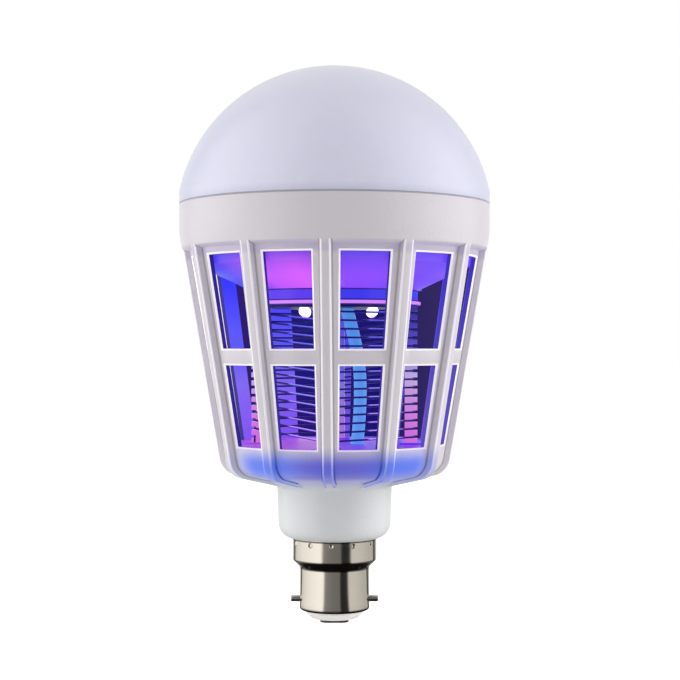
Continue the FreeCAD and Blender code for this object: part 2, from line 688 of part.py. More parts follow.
def uv_leds():
    """Ultraviolet lamps under the board, each a square body with a round window."""
    half = LED_LENGTH / 2
    near = UV_LED_CIRCLE - half
    far = UV_LED_CIRCLE + half
    low = Z_UV_BOARD - UV_LED_HEIGHT
    lamp = block(-half, half, -far, -near, low, Z_UV_BOARD)
    window = Part.makeSphere(half, Vector(0, -UV_LED_CIRCLE, low + half / 2))
    window = window.common(block(-half, half, -far, -near, low - half, low + UV_LED_HEIGHT / 2))
    return Part.makeCompound(ring_of(lamp.fuse(window), UV_LED_COUNT, 180.0 / UV_LED_COUNT))


def uv_board_screws():
    return Part.makeCompound([pan_screw(x, y, Z_UV_BOARD, UV_SCREW_LENGTH, 1) for x, y in trap_screw_places()])


def wire_levels():
    """Levels of the grid's wires, as many as the posts have room for."""
    room = Z_HUB - Z_BASE - 2 * GRID_HEAD_ROOM
    gaps = int(room / GRID_PITCH)
    low = Z_BASE + GRID_HEAD_ROOM + (room - gaps * GRID_PITCH) / 2
    return [low + (gaps - index) * GRID_PITCH for index in range(gaps + 1)]


def comb_post(azimuth):
    """Post with a notch for the wire at each level."""
    notch = 2 * WIRE_RADIUS + NOTCH_PLAY
    half = POST_WIDTH / 2
    post = block(-half, half, -POST_TIP_RADIUS, -POST_TIP_RADIUS + POST_DEPTH, Z_BASE - POST_FOOT, Z_HUB)
    notches = [
        block(-half - 1, half + 1, -POST_TIP_RADIUS - 1, -NOTCH_RADIUS, level - notch / 2, level + notch / 2)
        for level in wire_levels()
    ]
    return at_azimuth(post.cut(notches), azimuth)


def grid_wire(first_post):
    """Square winding on the four posts, one pitch lower after each pair of posts, with a tail."""
    levels = wire_levels()
    points = []
    post = first_post
    level = 0
    while level < len(levels):
        turn = RIB_AZIMUTH + post * 360.0 / POST_COUNT
        start = -WIRE_BEND if points else -POST_WIDTH / 4
        for across in (start, WIRE_BEND):
            point = Vector(across, -WIRE_CIRCLE, levels[level])
            points.append(FreeCAD.Rotation(Z_AXIS, turn).multVec(point))
        if post % 2:
            level += 1
        post += 1
    tail = WIRE_BEND + WIRE_RADIUS
    points.pop()
    for level in (levels[-1], Z_BASE_SEAT - TAIL_DROP):
        points.append(FreeCAD.Rotation(Z_AXIS, turn).multVec(Vector(tail, -WIRE_CIRCLE, level)))
    side = 1 if points[-1].x > 0 else -1
    points.append(Vector(side * (DRIVER_HALF_WIDTH - WIRE_RADIUS), 0, Z_DRIVER_TOP + WIRE_RADIUS + FIT))
    return tube(points, WIRE_RADIUS, mitred=True)


def grid_base():
    """Floor of the trap with sockets for the posts, holes for the leads and two screw seats."""
    radius = cone_radius(Z_BASE_SEAT, TRAY_INSET)
    solid = cylinder(radius, Z_BASE_SEAT, Z_BASE)
    half = POST_WIDTH / 2 + FIT
    wall = half + SOCKET_WALL
    inner = POST_TIP_RADIUS - POST_DEPTH - FIT
    outer = POST_TIP_RADIUS + FIT
    socket = block(-wall, wall, -outer - SOCKET_WALL, -inner + SOCKET_WALL, Z_BASE - 1, Z_BASE + SOCKET_RISE)
    pocket = block(-half, half, -outer, -inner, Z_BASE - POST_FOOT, Z_BASE + SOCKET_RISE + 1)
    for azimuth in post_azimuths():
        solid = solid.fuse(at_azimuth(socket, azimuth)).cut(at_azimuth(pocket, azimuth))
    tail_hole = cylinder(WIRE_RADIUS + FIT, Z_BASE_SEAT - 1, Z_BASE + SOCKET_RISE + 1,
                         WIRE_BEND + WIRE_RADIUS, -WIRE_CIRCLE)
    for azimuth in post_azimuths()[1::2]:
        solid = solid.cut(at_azimuth(tail_hole, azimuth))
    drop = SCREW_HEAD_RADIUS - SCREW_RADIUS
    for x, y in base_screw_places():
        solid = solid.cut(cylinder(SCREW_RADIUS + FIT, Z_BASE_SEAT - 1, Z_BASE, x, y))
        seat = Part.makeCone(SCREW_RADIUS + FIT, SCREW_HEAD_RADIUS + FIT, drop, Vector(x, y, Z_BASE - drop))
        solid = solid.cut(seat)
    return solid.cut(sleeve_hole())


def base_screws():
    return Part.makeCompound([countersunk_screw(x, y, Z_BASE, BASE_SCREW_LENGTH) for x, y in base_screw_places()])


def post_azimuths():
    return [RIB_AZIMUTH + index * 360.0 / POST_COUNT for index in range(POST_COUNT)]


def sleeve_route():
    """The sleeve's route, stretched between the driver's head and the tray's hub."""
    low = SLEEVE_BOW[0][1]
    high = SLEEVE_BOW[-1][1]
    foot = Z_DRIVER_TOP + SEAT
    head = Z_HUB + TRAY_WALL + SLEEVE_END
    return [Vector(x, 0, foot + (z - low) / (high - low) * (head - foot)) for x, z in SLEEVE_BOW]


def lead_sleeve():
    return tube(sleeve_route(), SLEEVE_RADIUS)


def sleeve_hole():
    """A slightly wider copy of the sleeve, which cuts its passage through base, board and tray."""
    return tube(sleeve_route(), SLEEVE_RADIUS + SEAT)


def driver_board():
    """Upright board, narrow in the cap and wide in the neck's rails."""
    half = DRIVER_THICKNESS / 2
    tail = DRIVER_TAIL_WIDTH / 2
    shoulder = Z_NECK + NECK_WALL + 1.0
    board = block(-DRIVER_HALF_WIDTH, DRIVER_HALF_WIDTH, -half, half, shoulder, Z_DRIVER_TOP)
    return board.fuse(block(-tail, tail, -half, half, Z_DRIVER_FOOT, shoulder)).removeSplitter()


def smoothing_capacitor():
    """Upright can with its crimped groove."""
    foot = Z_DRIVER_TOP - CAN_DROP
    top = foot + CAN_HEIGHT
    groove = foot + CAN_HEIGHT / 6
    waist = CAN_RADIUS - CAN_GROOVE
    can = turned(
        (0, foot),
        (CAN_RADIUS, foot, 0.6),
        (CAN_RADIUS, groove - CAN_GROOVE, 0.3),
        (waist, groove, 0.3),
        (CAN_RADIUS, groove + CAN_GROOVE, 0.3),
        (CAN_RADIUS, top, 0.6),
        (0, top),
    )
    can.translate(Vector(CAN_PLACE * DRIVER_HALF_WIDTH, DRIVER_THICKNESS / 2 + CAN_RADIUS + FIT, 0))
    return can


def film_capacitor():
    """Box with rounded corners flat on the front of the board."""
    foot = Z_DRIVER_TOP - FILM_DROP
    face = DRIVER_THICKNESS / 2
    left, right = [place * DRIVER_HALF_WIDTH for place in FILM_PLACES]
    box = block(left, right, face, face + FILM_DEPTH, foot, foot + FILM_HEIGHT)
    return box.makeFillet(0.8, [edge for edge in box.Edges if edge.BoundBox.YMin > face])


def multiplier_capacitors():
    """Three dipped disc capacitors flat on the rear of the board."""
    face = -DRIVER_THICKNESS / 2
    level = Z_DRIVER_TOP - DISC_DROP
    discs = []
    for place in DISC_PLACES:
        centre = Vector(place * DRIVER_HALF_WIDTH, face, level)
        disc = Part.makeCylinder(DISC_RADIUS, DISC_THICKNESS, centre, Vector(0, -1, 0))
        rims = [edge for edge in disc.Edges if edge.Closed and edge.BoundBox.YMax < face - DISC_THICKNESS / 2]
        discs.append(disc.makeFillet(0.9, rims))
    return Part.makeCompound(discs)


def multiplier_diodes():
    """Four small diodes in a row below the disc capacitors."""
    y = -DRIVER_THICKNESS / 2 - DIODE_RADIUS
    foot = Z_DRIVER_TOP - DIODE_DROP
    return Part.makeCompound([
        cylinder(DIODE_RADIUS, foot, foot + DIODE_LENGTH, place * DRIVER_HALF_WIDTH, y)
        for place in DIODE_PLACES
    ])


def bridge_rectifier():
    face = -DRIVER_THICKNESS / 2
    half = BRIDGE_WIDTH / 2
    return block(-half, half, face - BRIDGE_DEPTH, face, Z_NECK - BRIDGE_HEIGHT, Z_NECK)


def fuse_resistor():
    """Barrel resistor with thicker ends on the front of the board's tail."""
    foot = Z_NECK - RESISTOR_DROP
    top = foot + RESISTOR_LENGTH
    slope = RESISTOR_RADIUS - RESISTOR_WAIST
    body = turned(
        (0, foot),
        (RESISTOR_RADIUS, foot, 0.3),
        (RESISTOR_RADIUS, foot + RESISTOR_CAP, 0.2),
        (RESISTOR_WAIST, foot + RESISTOR_CAP + slope),
        (RESISTOR_WAIST, top - RESISTOR_CAP - slope),
        (RESISTOR_RADIUS, top - RESISTOR_CAP, 0.2),
        (RESISTOR_RADIUS, top, 0.3),
        (0, top),
    )
    body.translate(Vector(0, DRIVER_THICKNESS / 2 + RESISTOR_RADIUS, 0))
    return body


def contact_lead(side):
    """Lead from the board's foot to the stem of one contact."""
    face = side * (DRIVER_THICKNESS / 2 + LEAD_RADIUS)
    end = side * CONTACT_SPACING / 2
    route = [
        Vector(0, face, Z_DRIVER_FOOT + LEAD_OVERLAP),
        Vector(0, face, Z_DRIVER_FOOT),
        Vector(0, end, Z_DRIVER_FOOT - LEAD_OVERLAP),
        Vector(0, end, STEM_TOP),
    ]
    return tube(route, LEAD_RADIUS)


def all_pieces():
    pieces = {
        "contact_front": contact(-1),
        "contact_rear": contact(1),
        "cap_insulator": cap_insulator(),
        "cap_shell": cap_shell(),
        "bayonet_pin_right": bayonet_pin(1),
        "bayonet_pin_left": bayonet_pin(-1),
        "guard_cage": guard_cage(),
        "diffuser_dome": diffuser_dome(),
        "light_tray": light_tray(),
        "lamp_board": lamp_board(),
        "white_leds": white_leds(),
        "lamp_board_screws": lamp_board_screws(),
        "uv_board": uv_board(),
        "uv_leds": uv_leds(),
        "uv_board_screws": uv_board_screws(),
        "grid_wire_live": grid_wire(0),
        "grid_wire_return": grid_wire(2),
        "grid_base": grid_base(),
        "base_screws": base_screws(),
        "lead_sleeve": lead_sleeve(),
        "driver_board": driver_board(),
        "smoothing_capacitor": smoothing_capacitor(),
        "film_capacitor": film_capacitor(),
        "multiplier_capacitors": multiplier_capacitors(),
        "multiplier_diodes": multiplier_diodes(),
        "bridge_rectifier": bridge_rectifier(),
        "fuse_resistor": fuse_resistor(),
        "contact_lead_front": contact_lead(-1),
        "contact_lead_rear": contact_lead(1),
    }
    for place, azimuth in zip(("front", "right", "rear", "left"), post_azimuths()):
        pieces["comb_post_" + place] = comb_post(azimuth)
    return pieces


os.makedirs("parts", exist_ok=True)
for name, shape in all_pieces().items():
    state = "valid" if shape.isValid() else "NOT VALID"
    print(name, state, len(shape.Solids), "solids", round(shape.Volume, 1), "cubic mm")
    shape.exportStep("parts/" + name + ".step")
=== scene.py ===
import math

import bmesh
import bpy
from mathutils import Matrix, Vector


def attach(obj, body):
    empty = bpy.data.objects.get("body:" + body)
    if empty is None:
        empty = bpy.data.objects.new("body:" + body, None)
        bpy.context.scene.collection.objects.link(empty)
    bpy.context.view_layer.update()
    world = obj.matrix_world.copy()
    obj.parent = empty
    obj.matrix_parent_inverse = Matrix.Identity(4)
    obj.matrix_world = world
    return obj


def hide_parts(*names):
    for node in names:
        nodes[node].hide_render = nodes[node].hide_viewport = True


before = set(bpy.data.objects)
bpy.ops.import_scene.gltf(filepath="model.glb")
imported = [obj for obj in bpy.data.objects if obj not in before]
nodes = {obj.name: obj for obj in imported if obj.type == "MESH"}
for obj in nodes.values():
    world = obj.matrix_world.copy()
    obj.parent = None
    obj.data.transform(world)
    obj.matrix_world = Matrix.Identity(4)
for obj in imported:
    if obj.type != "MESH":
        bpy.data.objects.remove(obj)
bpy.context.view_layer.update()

MM = 0.001

# Photograph: an eye level view from the front, 680 pixels square, in metres
VIEW_WIDTH = 0.2152           # width of the picture at the bulb's axis
VIEW_DISTANCE = 0.48
VIEW_HEIGHT = 0.087
PICTURE_CENTRE_X = 0.00174
PICTURE_CENTRE_Z = 0.0885
SENSOR = 36.0                 # millimetres

# Bulb, in millimetres and degrees
RIB_COUNT = 12
RIB_AZIMUTH = -3.0
RIB_WIDTH = 3.2
WINDOW_ANGLE = 19.2
WINDOW_BEVEL = 0.5
WINDOW_STEPS = 14
BODY_RADIUS = 48.9
SILL_RADIUS = 37.5
SILL = 56.0
CONE_TOP = 122.0
TAPER = (BODY_RADIUS - SILL_RADIUS) / (CONE_TOP - SILL)
PANEL_RECESS = 2.4
INNER_INSET = 4.2
BAND_BORE = 46.9
BAND_LOW = 117.3
BAND_ROUND = 30.0
PANEL_STEP = 1.0
LEDGE = 118.9
SEAM = 131.0
SEAM_LIP = 0.9
WINDOWS = ((56.0, 80.8), (85.8, 114.1))
BASE_SEAT = 53.7
SEAT_WIDTH = 1.7
NECK_RADIUS = 18.2
NECK_FOOT_RADIUS = 17.6
NECK_FOOT_ROUND = 4.8
NECK_ROUND = 1.5
NECK_BORE = 15.6
NECK_TOP = 42.6
NECK_LOW = 26.1
BOWL_SLOPE = 0.235
BOWL_ROUND = 12.0
BOWL_RECESS = 1.2
BOWL_INSIDE = 3.2
RECESS_END = NECK_RADIUS + 1.5
RECESS_FADE = 3.0
SPIGOT_RADIUS = 12.7
SPIGOT_BORE = 11.0
SPIGOT_LOW = 20.1
SPIGOT_SEAT = NECK_LOW + 2.0
TRAY_LIP_LOW = 99.3
TRAY_LIP_TOP = 100.5
TRAY_HUB_TOP = 104.0
LAMP_COUNT = 4
LAMP_AZIMUTH = 45.0
LAMP_CIRCLE = 15.0
LAMP_SHIFT = 1.3              # the photograph shows the lamps right of the axis
LAMP_LEVEL = 97.5
LAMP_RADIUS = 1.7
LAMP_RISE = 1.8
SAME_LEVEL = 1e-6             # levels closer than this are one level


def rgb(red, green, blue):
    """Linear colour of an 8 bit screen colour."""
    linear = []
    for value in (red, green, blue):
        share = value / 255
        linear.append(share / 12.92 if share <= 0.04045 else ((share + 0.055) / 1.055) ** 2.4)
    return (*linear, 1.0)


def grey(level):
    """Linear grey of a given level."""
    return (level, level, level, 1.0)


# Outlines

def round_corner(before, corner, after, radius, steps):
    """Points of an arc that rounds a corner of an outline."""
    to_before = before - corner
    to_after = after - corner
    half = to_before.angle(to_after) / 2
    reach = min(radius / math.tan(half), to_before.length * 0.49, to_after.length * 0.49)
    radius = reach * math.tan(half)
    to_before.normalize()
    to_after.normalize()
    middle_way = (to_before + to_after).normalized()
    centre = corner + middle_way * (radius / math.sin(half))
    start = corner + to_before * reach - centre
    turn = math.pi - 2 * half
    if to_before.cross(to_after) > 0:
        turn = -turn
    points = []
    for step in range(steps + 1):
        angle = turn * step / steps
        cosine = math.cos(angle)
        sine = math.sin(angle)
        arm = Vector((start.x * cosine - start.y * sine, start.x * sine + start.y * cosine))
        points.append(centre + arm)
    return points


def outline(*corners, steps=8):
    """Open outline through (radius, z) or (radius, z, rounding) corners."""
    points = []
    for index, corner in enumerate(corners):
        place = Vector(corner[:2])
        if len(corner) > 2 and 0 < index < len(corners) - 1:
            before = Vector(corners[index - 1][:2])
            after = Vector(corners[index + 1][:2])
            points += round_corner(before, place, after, corner[2], steps)
        else:
            points.append(place)
    return points


def divided(points, longest):
    """The same outline with no run longer than a given length."""
    result = [points[0]]
    for before, after in zip(points, points[1:]):
        count = max(1, math.ceil((after - before).length / longest))
        result += [before.lerp(after, step / count) for step in range(1, count + 1)]
    return result


def around(radius, turn, z):
    """Point at an azimuth, in metres, with azimuth 0 at the front."""
    return radius * math.sin(turn) * MM, -radius * math.cos(turn) * MM, z * MM


def place_object(name, data):
    """Object of the scene from its data."""
    made = bpy.data.objects.new(name, data)
    bpy.context.scene.collection.objects.link(made)
    return made


def finish_mesh(name, points, faces, materials, choice=None, sharp=35.0):
    """Smooth piece from points and faces, with a material per face where there is a choice."""
    mesh = bpy.data.meshes.new(name)
    mesh.from_pydata(points, [], faces)
    for material in materials:
        mesh.materials.append(material)
    if choice:
        mesh.polygons.foreach_set("material_index", choice)
    mesh.validate()
    working = bmesh.new()
    working.from_mesh(mesh)
    bmesh.ops.remove_doubles(working, verts=working.verts, dist=1e-7)
    bmesh.ops.recalc_face_normals(working, faces=working.faces)
    working.to_mesh(mesh)
    working.free()
    mesh.shade_smooth()
    mesh.set_sharp_from_angle(angle=math.radians(sharp))
    return place_object(name, mesh)


def stand_for(piece, node):
    """Lets a piece ride on the body in place of a node."""
    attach(piece, "root")
    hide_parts(node)


# Guard cage

def cone_radius(z, inset=0.0):
    """Radius of the cage's tapering wall."""
    return SILL_RADIUS + (z - SILL) * TAPER - inset


def wall_point(z, inset=0.0):
    return Vector((cone_radius(z, inset), z))


def bowl_level(radius, raised=0.0):
    """Level of the cage's bowl."""
    return NECK_TOP + (radius - NECK_RADIUS) * BOWL_SLOPE + raised


def bowl_point(radius, raised=0.0):
    return Vector((radius, bowl_level(radius, raised)))


def bowl_corner(inset, raised):
    """Corner in which the wall and the bowl would meet without their rounding."""
    radius = SILL_RADIUS - inset + (bowl_level(0.0, raised) - SILL) * TAPER
    radius = radius / (1.0 - BOWL_SLOPE * TAPER)
    return radius, bowl_level(radius, raised)


def window_rows():
    """Levels of the cage's wall from the band down to the bowl, with the bevels' rows."""
    levels = [BAND_LOW, BAND_LOW - 0.25, BAND_LOW - PANEL_STEP, BAND_LOW - PANEL_STEP - 0.4]
    for low, high in reversed(WINDOWS):
        levels.append(high + WINDOW_BEVEL)
        levels += [high + (low - high) * step / WINDOW_STEPS for step in range(WINDOW_STEPS + 1)]
        levels.append(low - WINDOW_BEVEL)
    return levels


def cage_outside():
    """Pairs of outline points: on the ribs' outside and on the panels, band first."""
    band = outline((BODY_RADIUS - SEAM_LIP, SEAM), (BODY_RADIUS - 0.3, SEAM, 0.2),
                   (BODY_RADIUS, SEAM - 0.35, 0.2), (BODY_RADIUS, SEAM - 0.8), steps=3)
    band += outline((BODY_RADIUS, SEAM - 1.6), (BODY_RADIUS, CONE_TOP, BAND_ROUND),
                    wall_point(BAND_LOW + 0.3))
    rows = [(place, place) for place in band]
    for z in window_rows():
        share = min(1.0, max(0.0, (BAND_LOW - z) / PANEL_STEP))
        if BAND_LOW - PANEL_STEP < z < BAND_LOW - 0.01:
            share = 0.1
        rows.append((wall_point(z), wall_point(z, PANEL_RECESS * share)))
    fade = RECESS_END + RECESS_FADE
    wall_foot = SILL - 0.5
    rib_corner = (*bowl_corner(0, 0), BOWL_ROUND)
    recess_corner = (*bowl_corner(PANEL_RECESS, BOWL_RECESS), BOWL_ROUND - PANEL_RECESS)
    rib_arc = outline(wall_point(wall_foot), rib_corner, bowl_point(fade), steps=16)[1:-1]
    panel_arc = outline(wall_point(wall_foot, PANEL_RECESS), recess_corner, bowl_point(fade, BOWL_RECESS),
                        steps=16)[1:-1]
    rows += zip(rib_arc, panel_arc)
    for step in range(1, 5):
        radius = rib_arc[-1].x + (fade - rib_arc[-1].x) * step / 4
        rows.append((bowl_point(radius), bowl_point(radius, BOWL_RECESS)))
    for step in range(1, 6):
        share = step / 5
        radius = fade + (RECESS_END - fade) * share
        rows.append((bowl_point(radius), bowl_point(radius, BOWL_RECESS * (1 - share))))
    # The foot's line runs on past the spigot so that its rounding isn't cut short, and is then cut back
    neck = outline(bowl_point(RECESS_END - 0.4), (NECK_RADIUS, NECK_TOP, NECK_ROUND),
                   (NECK_FOOT_RADIUS, NECK_LOW, NECK_FOOT_ROUND), (NECK_FOOT_RADIUS - 10.0, NECK_LOW))
    neck = divided(neck[:-1] + [Vector((SPIGOT_RADIUS, NECK_LOW))], 1.5)
    neck += outline((SPIGOT_RADIUS, NECK_LOW - 0.5), (SPIGOT_RADIUS, SPIGOT_LOW))
    rows += [(place, place) for place in neck]
    return rows


def cage_inside():
    """Outline of the cage's inside, from the seam down to the spigot's foot."""
    band = outline((BODY_RADIUS - SEAM_LIP, SEAM), (BAND_BORE, SEAM), (BAND_BORE, LEDGE))
    wall = [wall_point(z, INNER_INSET) for z in (LEDGE, *window_rows())]
    seat = cone_radius(BASE_SEAT, INNER_INSET)
    bowl_edge = seat - SEAT_WIDTH
    lower = outline(
        (seat, BASE_SEAT), (bowl_edge, BASE_SEAT), (*bowl_point(bowl_edge, BOWL_INSIDE), 6.0),
        (*bowl_point(NECK_BORE, BOWL_INSIDE), NECK_ROUND), (NECK_BORE, SPIGOT_SEAT, 1.0),
        (SPIGOT_BORE, SPIGOT_SEAT, 1.0), (SPIGOT_BORE, SPIGOT_LOW), (SPIGOT_RADIUS, SPIGOT_LOW))
    return band + wall + lower


# Half a rib's section as (share of its half width, depth share) pairs from its middle,
# where depth runs from the rib's outside to the panel
RIB_SECTION = ((0.0, 0.0), (0.64, 0.0), (0.85, 0.03), (0.96, 0.09),
               (1.0, 0.18), (1.0, 0.84), (1.06, 0.94), (1.3, 1.0))
RIB_EDGE_CELLS = (1, 2, 3)
CORNER_CELLS = (5, 6)
SKIN, LIT, RIM, REVEAL, RIB_EDGE, CORNER, GROOVE = range(7)
PANE_STEPS = 4


def cage_columns(rib_point, panel_point):
    """Azimuth from the rib's middle and point for each column of half a sector."""
    columns = []
    for share, depth in RIB_SECTION:
        place = rib_point.lerp(panel_point, depth)
        across = share * RIB_WIDTH / 2
        columns.append((math.asin(min(across / place.x, 0.9)), place))
    half_sector = math.pi / RIB_COUNT
    foot = columns[-1][0]
    edge = half_sector - math.radians(WINDOW_ANGLE / 2)
    bevel = WINDOW_BEVEL / panel_point.x
    margin = max(edge - bevel, foot + 0.004)
    edge = max(edge, margin + bevel)
    columns.append((margin, panel_point))
    for step in range(PANE_STEPS + 1):
        columns.append((edge + (half_sector - edge) * step / PANE_STEPS, panel_point))
    return columns


def full_circle(half):
    """Columns of the whole circle from those of half a sector."""
    sector = 2 * math.pi / RIB_COUNT
    turned = []
    mirror = [(sector - turn, place) for turn, place in reversed(half[1:-1])]
    for index in range(RIB_COUNT):
        first = math.radians(RIB_AZIMUTH) + sector * index
        turned += [(first + turn, place) for turn, place in half + mirror]
    return turned


def build_cage(finishes):
    """The cage's moulding, with a material per face by its place."""
    half_count = len(RIB_SECTION) + 2 + PANE_STEPS
    sector_count = 2 * (half_count - 1)
    pane_first = len(RIB_SECTION) + 1
    pane_last = sector_count - pane_first
    circle = sector_count * RIB_COUNT
    levels = {round(z, 3) for z in window_rows()}
    edges = [level for pair in WINDOWS for level in pair]

    def in_window(z):
        return any(low - SAME_LEVEL <= z <= high + SAME_LEVEL for low, high in WINDOWS)

    def pane_column(column):
        return pane_first <= column % sector_count <= pane_last

    def rim_column(column):
        return column % sector_count in (pane_first, pane_last)

    def on_edge(z):
        return any(abs(z - level) < SAME_LEVEL for level in edges)

    points = []
    outside = []
    outside_levels = []
    outside_heights = []
    for rib_point, panel_point in cage_outside():
        row = []
        z = round(rib_point.y, 3)
        level_row = z in levels
        for column, (turn, place) in enumerate(full_circle(cage_columns(rib_point, panel_point))):
            radius = place.x
            side_rim = rim_column(column) and in_window(z)
            end_rim = pane_column(column) and on_edge(z)
            if level_row and (side_rim or end_rim):
                radius -= WINDOW_BEVEL
            row.append(len(points))
            points.append(around(radius, turn, place.y))
        outside.append(row)
        outside_levels.append(z if level_row else None)
        outside_heights.append(z)
    inside = []
    inside_levels = []
    for place in cage_inside():
        row = []
        panel = Vector((max(place.x + PANEL_RECESS, NECK_BORE), place.y))
        z = round(place.y, 3)
        for turn, _ in full_circle(cage_columns(panel, panel)):
            row.append(len(points))
            points.append(around(place.x, turn, place.y))
        inside.append(row)
        inside_levels.append(z if z in levels else None)

    faces = []
    choice = []

    def pane_cell(column, z_high, z_low):
        if z_high is None or z_low is None:
            return False
        between = (z_high + z_low) / 2
        return in_window(between) and pane_first <= column % sector_count < pane_last

    def skin_rows(rows, row_levels, skin):
        for index in range(len(rows) - 1):
            z_high = row_levels[index]
            z_low = row_levels[index + 1]
            for column in range(circle):
                if pane_cell(column, z_high, z_low):
                    continue
                beside = (column + 1) % circle
                faces.append((rows[index][column], rows[index][beside],
                              rows[index + 1][beside], rows[index + 1][column]))
                choice.append(LIT if skin == LIT else outer_finish(column, index, z_high, z_low))

    def outer_finish(column, index, z_high, z_low):
        high = outside_heights[index]
        if high > SEAM - 0.3:
            return GROOVE
        if beside_window(column, z_high, z_low):
            return RIM
        cell = column % sector_count
        cell = min(cell, sector_count - 1 - cell)
        if high > BAND_LOW + 0.01 or high < NECK_TOP + 1.5:
            return SKIN
        if cell in RIB_EDGE_CELLS:
            return RIB_EDGE
        return CORNER if cell in CORNER_CELLS else SKIN

    def beside_window(column, z_high, z_low):
        if z_high is None or z_low is None:
            return False
        place = column % sector_count
        between = (z_high + z_low) / 2
        if in_window(between):
            return place in (pane_first - 1, pane_last)
        narrow = z_high - z_low < WINDOW_BEVEL * 1.5
        return (on_edge(z_high) or on_edge(z_low)) and narrow and pane_first - 1 <= place <= pane_last

    skin_rows(outside, outside_levels, SKIN)
    skin_rows(inside, inside_levels, LIT)
    outer_at = {z: row for z, row in zip(outside_levels, outside) if z is not None}
    inner_at = {z: row for z, row in zip(inside_levels, inside) if z is not None}
    shared = sorted(set(outer_at) & set(inner_at))
    for column in range(circle):
        beside = (column + 1) % circle
        for low, high in zip(shared, shared[1:]):
            if rim_column(column) and in_window((low + high) / 2):
                faces.append((outer_at[low][column], outer_at[high][column],
                              inner_at[high][column], inner_at[low][column]))
                choice.append(REVEAL)
        for level in edges:
            if pane_first <= column % sector_count < pane_last:
                faces.append((outer_at[level][column], outer_at[level][beside],
                              inner_at[level][beside], inner_at[level][column]))
                choice.append(REVEAL)
    for column in range(circle):
        beside = (column + 1) % circle
        faces.append((outside[-1][column], outside[-1][beside], inside[-1][beside], inside[-1][column]))
        choice.append(SKIN)
    cage = finish_mesh("cage_moulding", points, faces, finishes, choice, sharp=40.0)
    stand_for(cage, "guard_cage")


# Materials

WHITE = rgb(255, 255, 255)
BLACK = rgb(0, 0, 0)
# Painted shade: the dark colour that the pieces in the trap's painted light fade to
PAINTED_TRAP_SHADE = rgb(20, 14, 60)   # mixed into the base colour of the pieces inside the trap

# Levels in millimetres between which the colours change, from none to all of the change
NECK_TO_WALL = (44.0, 52.0)
GLOW_START = (41.8, 50.0)
GLOW_END = 57.5
TINT_FOOT = (113.0, 114.6)
TINT_TOP = (118.2, 115.4)
CAGE_INSIDE = (52.0, 112.0)
REVEAL_FADE = (60.0, 112.0)
RIM_FADE = (50.0, 70.0)
DOME_FADE = (140.0, 174.0)
CEILING_RISE = (107.0, 115.5)
GRID = (56.0, 98.0)
GRID_HALF_WIDTH = 25.0
SLEEVE = (60.0, 98.0)
CAP_FOOT = (4.7, 4.0)
SHOULDER_FOOT = (16.3, 16.8)
SHOULDER_TOP = (19.9, 19.4)
CAP_BRIM = (25.5, 25.9)


class Tree:
    """A node tree with short calls to add and link nodes."""

    def __init__(self, tree):
        self.tree = tree

    def node(self, kind, inputs=None, **settings):
        made = self.tree.nodes.new(kind)
        for name, value in settings.items():
            setattr(made, name, value)
        for key, value in (inputs or {}).items():
            self.feed(made.inputs[key], value)
        return made

    def feed(self, socket, value):
        """Links a socket, or sets its value."""
        if isinstance(value, bpy.types.NodeSocket):
            self.tree.links.new(value, socket)
        else:
            socket.default_value = value

    def maths(self, operation, *values):
        return self.node("ShaderNodeMath", dict(enumerate(values)), operation=operation).outputs[0]

    def product(self, first, second):
        return self.maths("MULTIPLY", first, second)

    def held(self, value, low, high, kind="LINEAR"):
        """Share of the way from low to high, held between 0 and 1."""
        made = self.node("ShaderNodeMapRange", {"Value": value, "From Min": low, "From Max": high},
                         interpolation_type=kind)
        return made.outputs["Result"]

    def clamped(self, value, low, high):
        """The same share, smoothed towards both ends."""
        return self.held(value, low, high, "SMOOTHSTEP")

    def spread(self, value, low, high):
        """A share laid over the way from low to high."""
        made = self.node("ShaderNodeMapRange", {"Value": value, "To Min": low, "To Max": high})
        return made.outputs["Result"]

    def mixed(self, share, first, second):
        made = self.node("ShaderNodeMix", data_type="RGBA")
        for index, value in ((0, share), (6, first), (7, second)):   # factor and the two colours
            self.feed(made.inputs[index], value)
        return made.outputs[2]

    def ramp(self, value, *stops):
        """Colour ramp through (share, colour) stops."""
        made = self.node("ShaderNodeValToRGB", {"Fac": value})
        elements = made.color_ramp.elements
        while len(elements) < len(stops):
            elements.new(0.5)
        for element, (place, colour) in zip(elements, stops):
            element.position = place
            element.color = colour
        return made.outputs["Color"]

    def noise(self, **inputs):
        return self.node("ShaderNodeTexNoise", inputs).outputs[0]

    def object_place(self):
        return self.node("ShaderNodeTexCoord").outputs["Object"]

    def axes(self, vector):
        return self.node("ShaderNodeSeparateXYZ", {0: vector}).outputs

    def group(self, group, **inputs):
        made = self.node("ShaderNodeGroup", node_tree=group)
        for name, value in inputs.items():
            self.feed(made.inputs[name.replace("_", " ")], value)
        return made.outputs


def new_group(name, inputs, outputs):
    """Node group from (label, kind, value) inputs and (label, kind) outputs."""
    group = bpy.data.node_groups.new(name, "ShaderNodeTree")
    for label, kind, value in inputs:
        socket = group.interface.new_socket(label, in_out="INPUT", socket_type="NodeSocket" + kind)
        socket.default_value = value
    for label, kind in outputs:
        group.interface.new_socket(label, in_out="OUTPUT", socket_type="NodeSocket" + kind)
    tree = Tree(group)
    return group, tree, tree.node("NodeGroupInput").outputs, tree.node("NodeGroupOutput")


def hand_out(tree, out, **values):
    """Links the outputs of a node group."""
    for name, value in values.items():
        tree.tree.links.new(value, out.inputs[name])


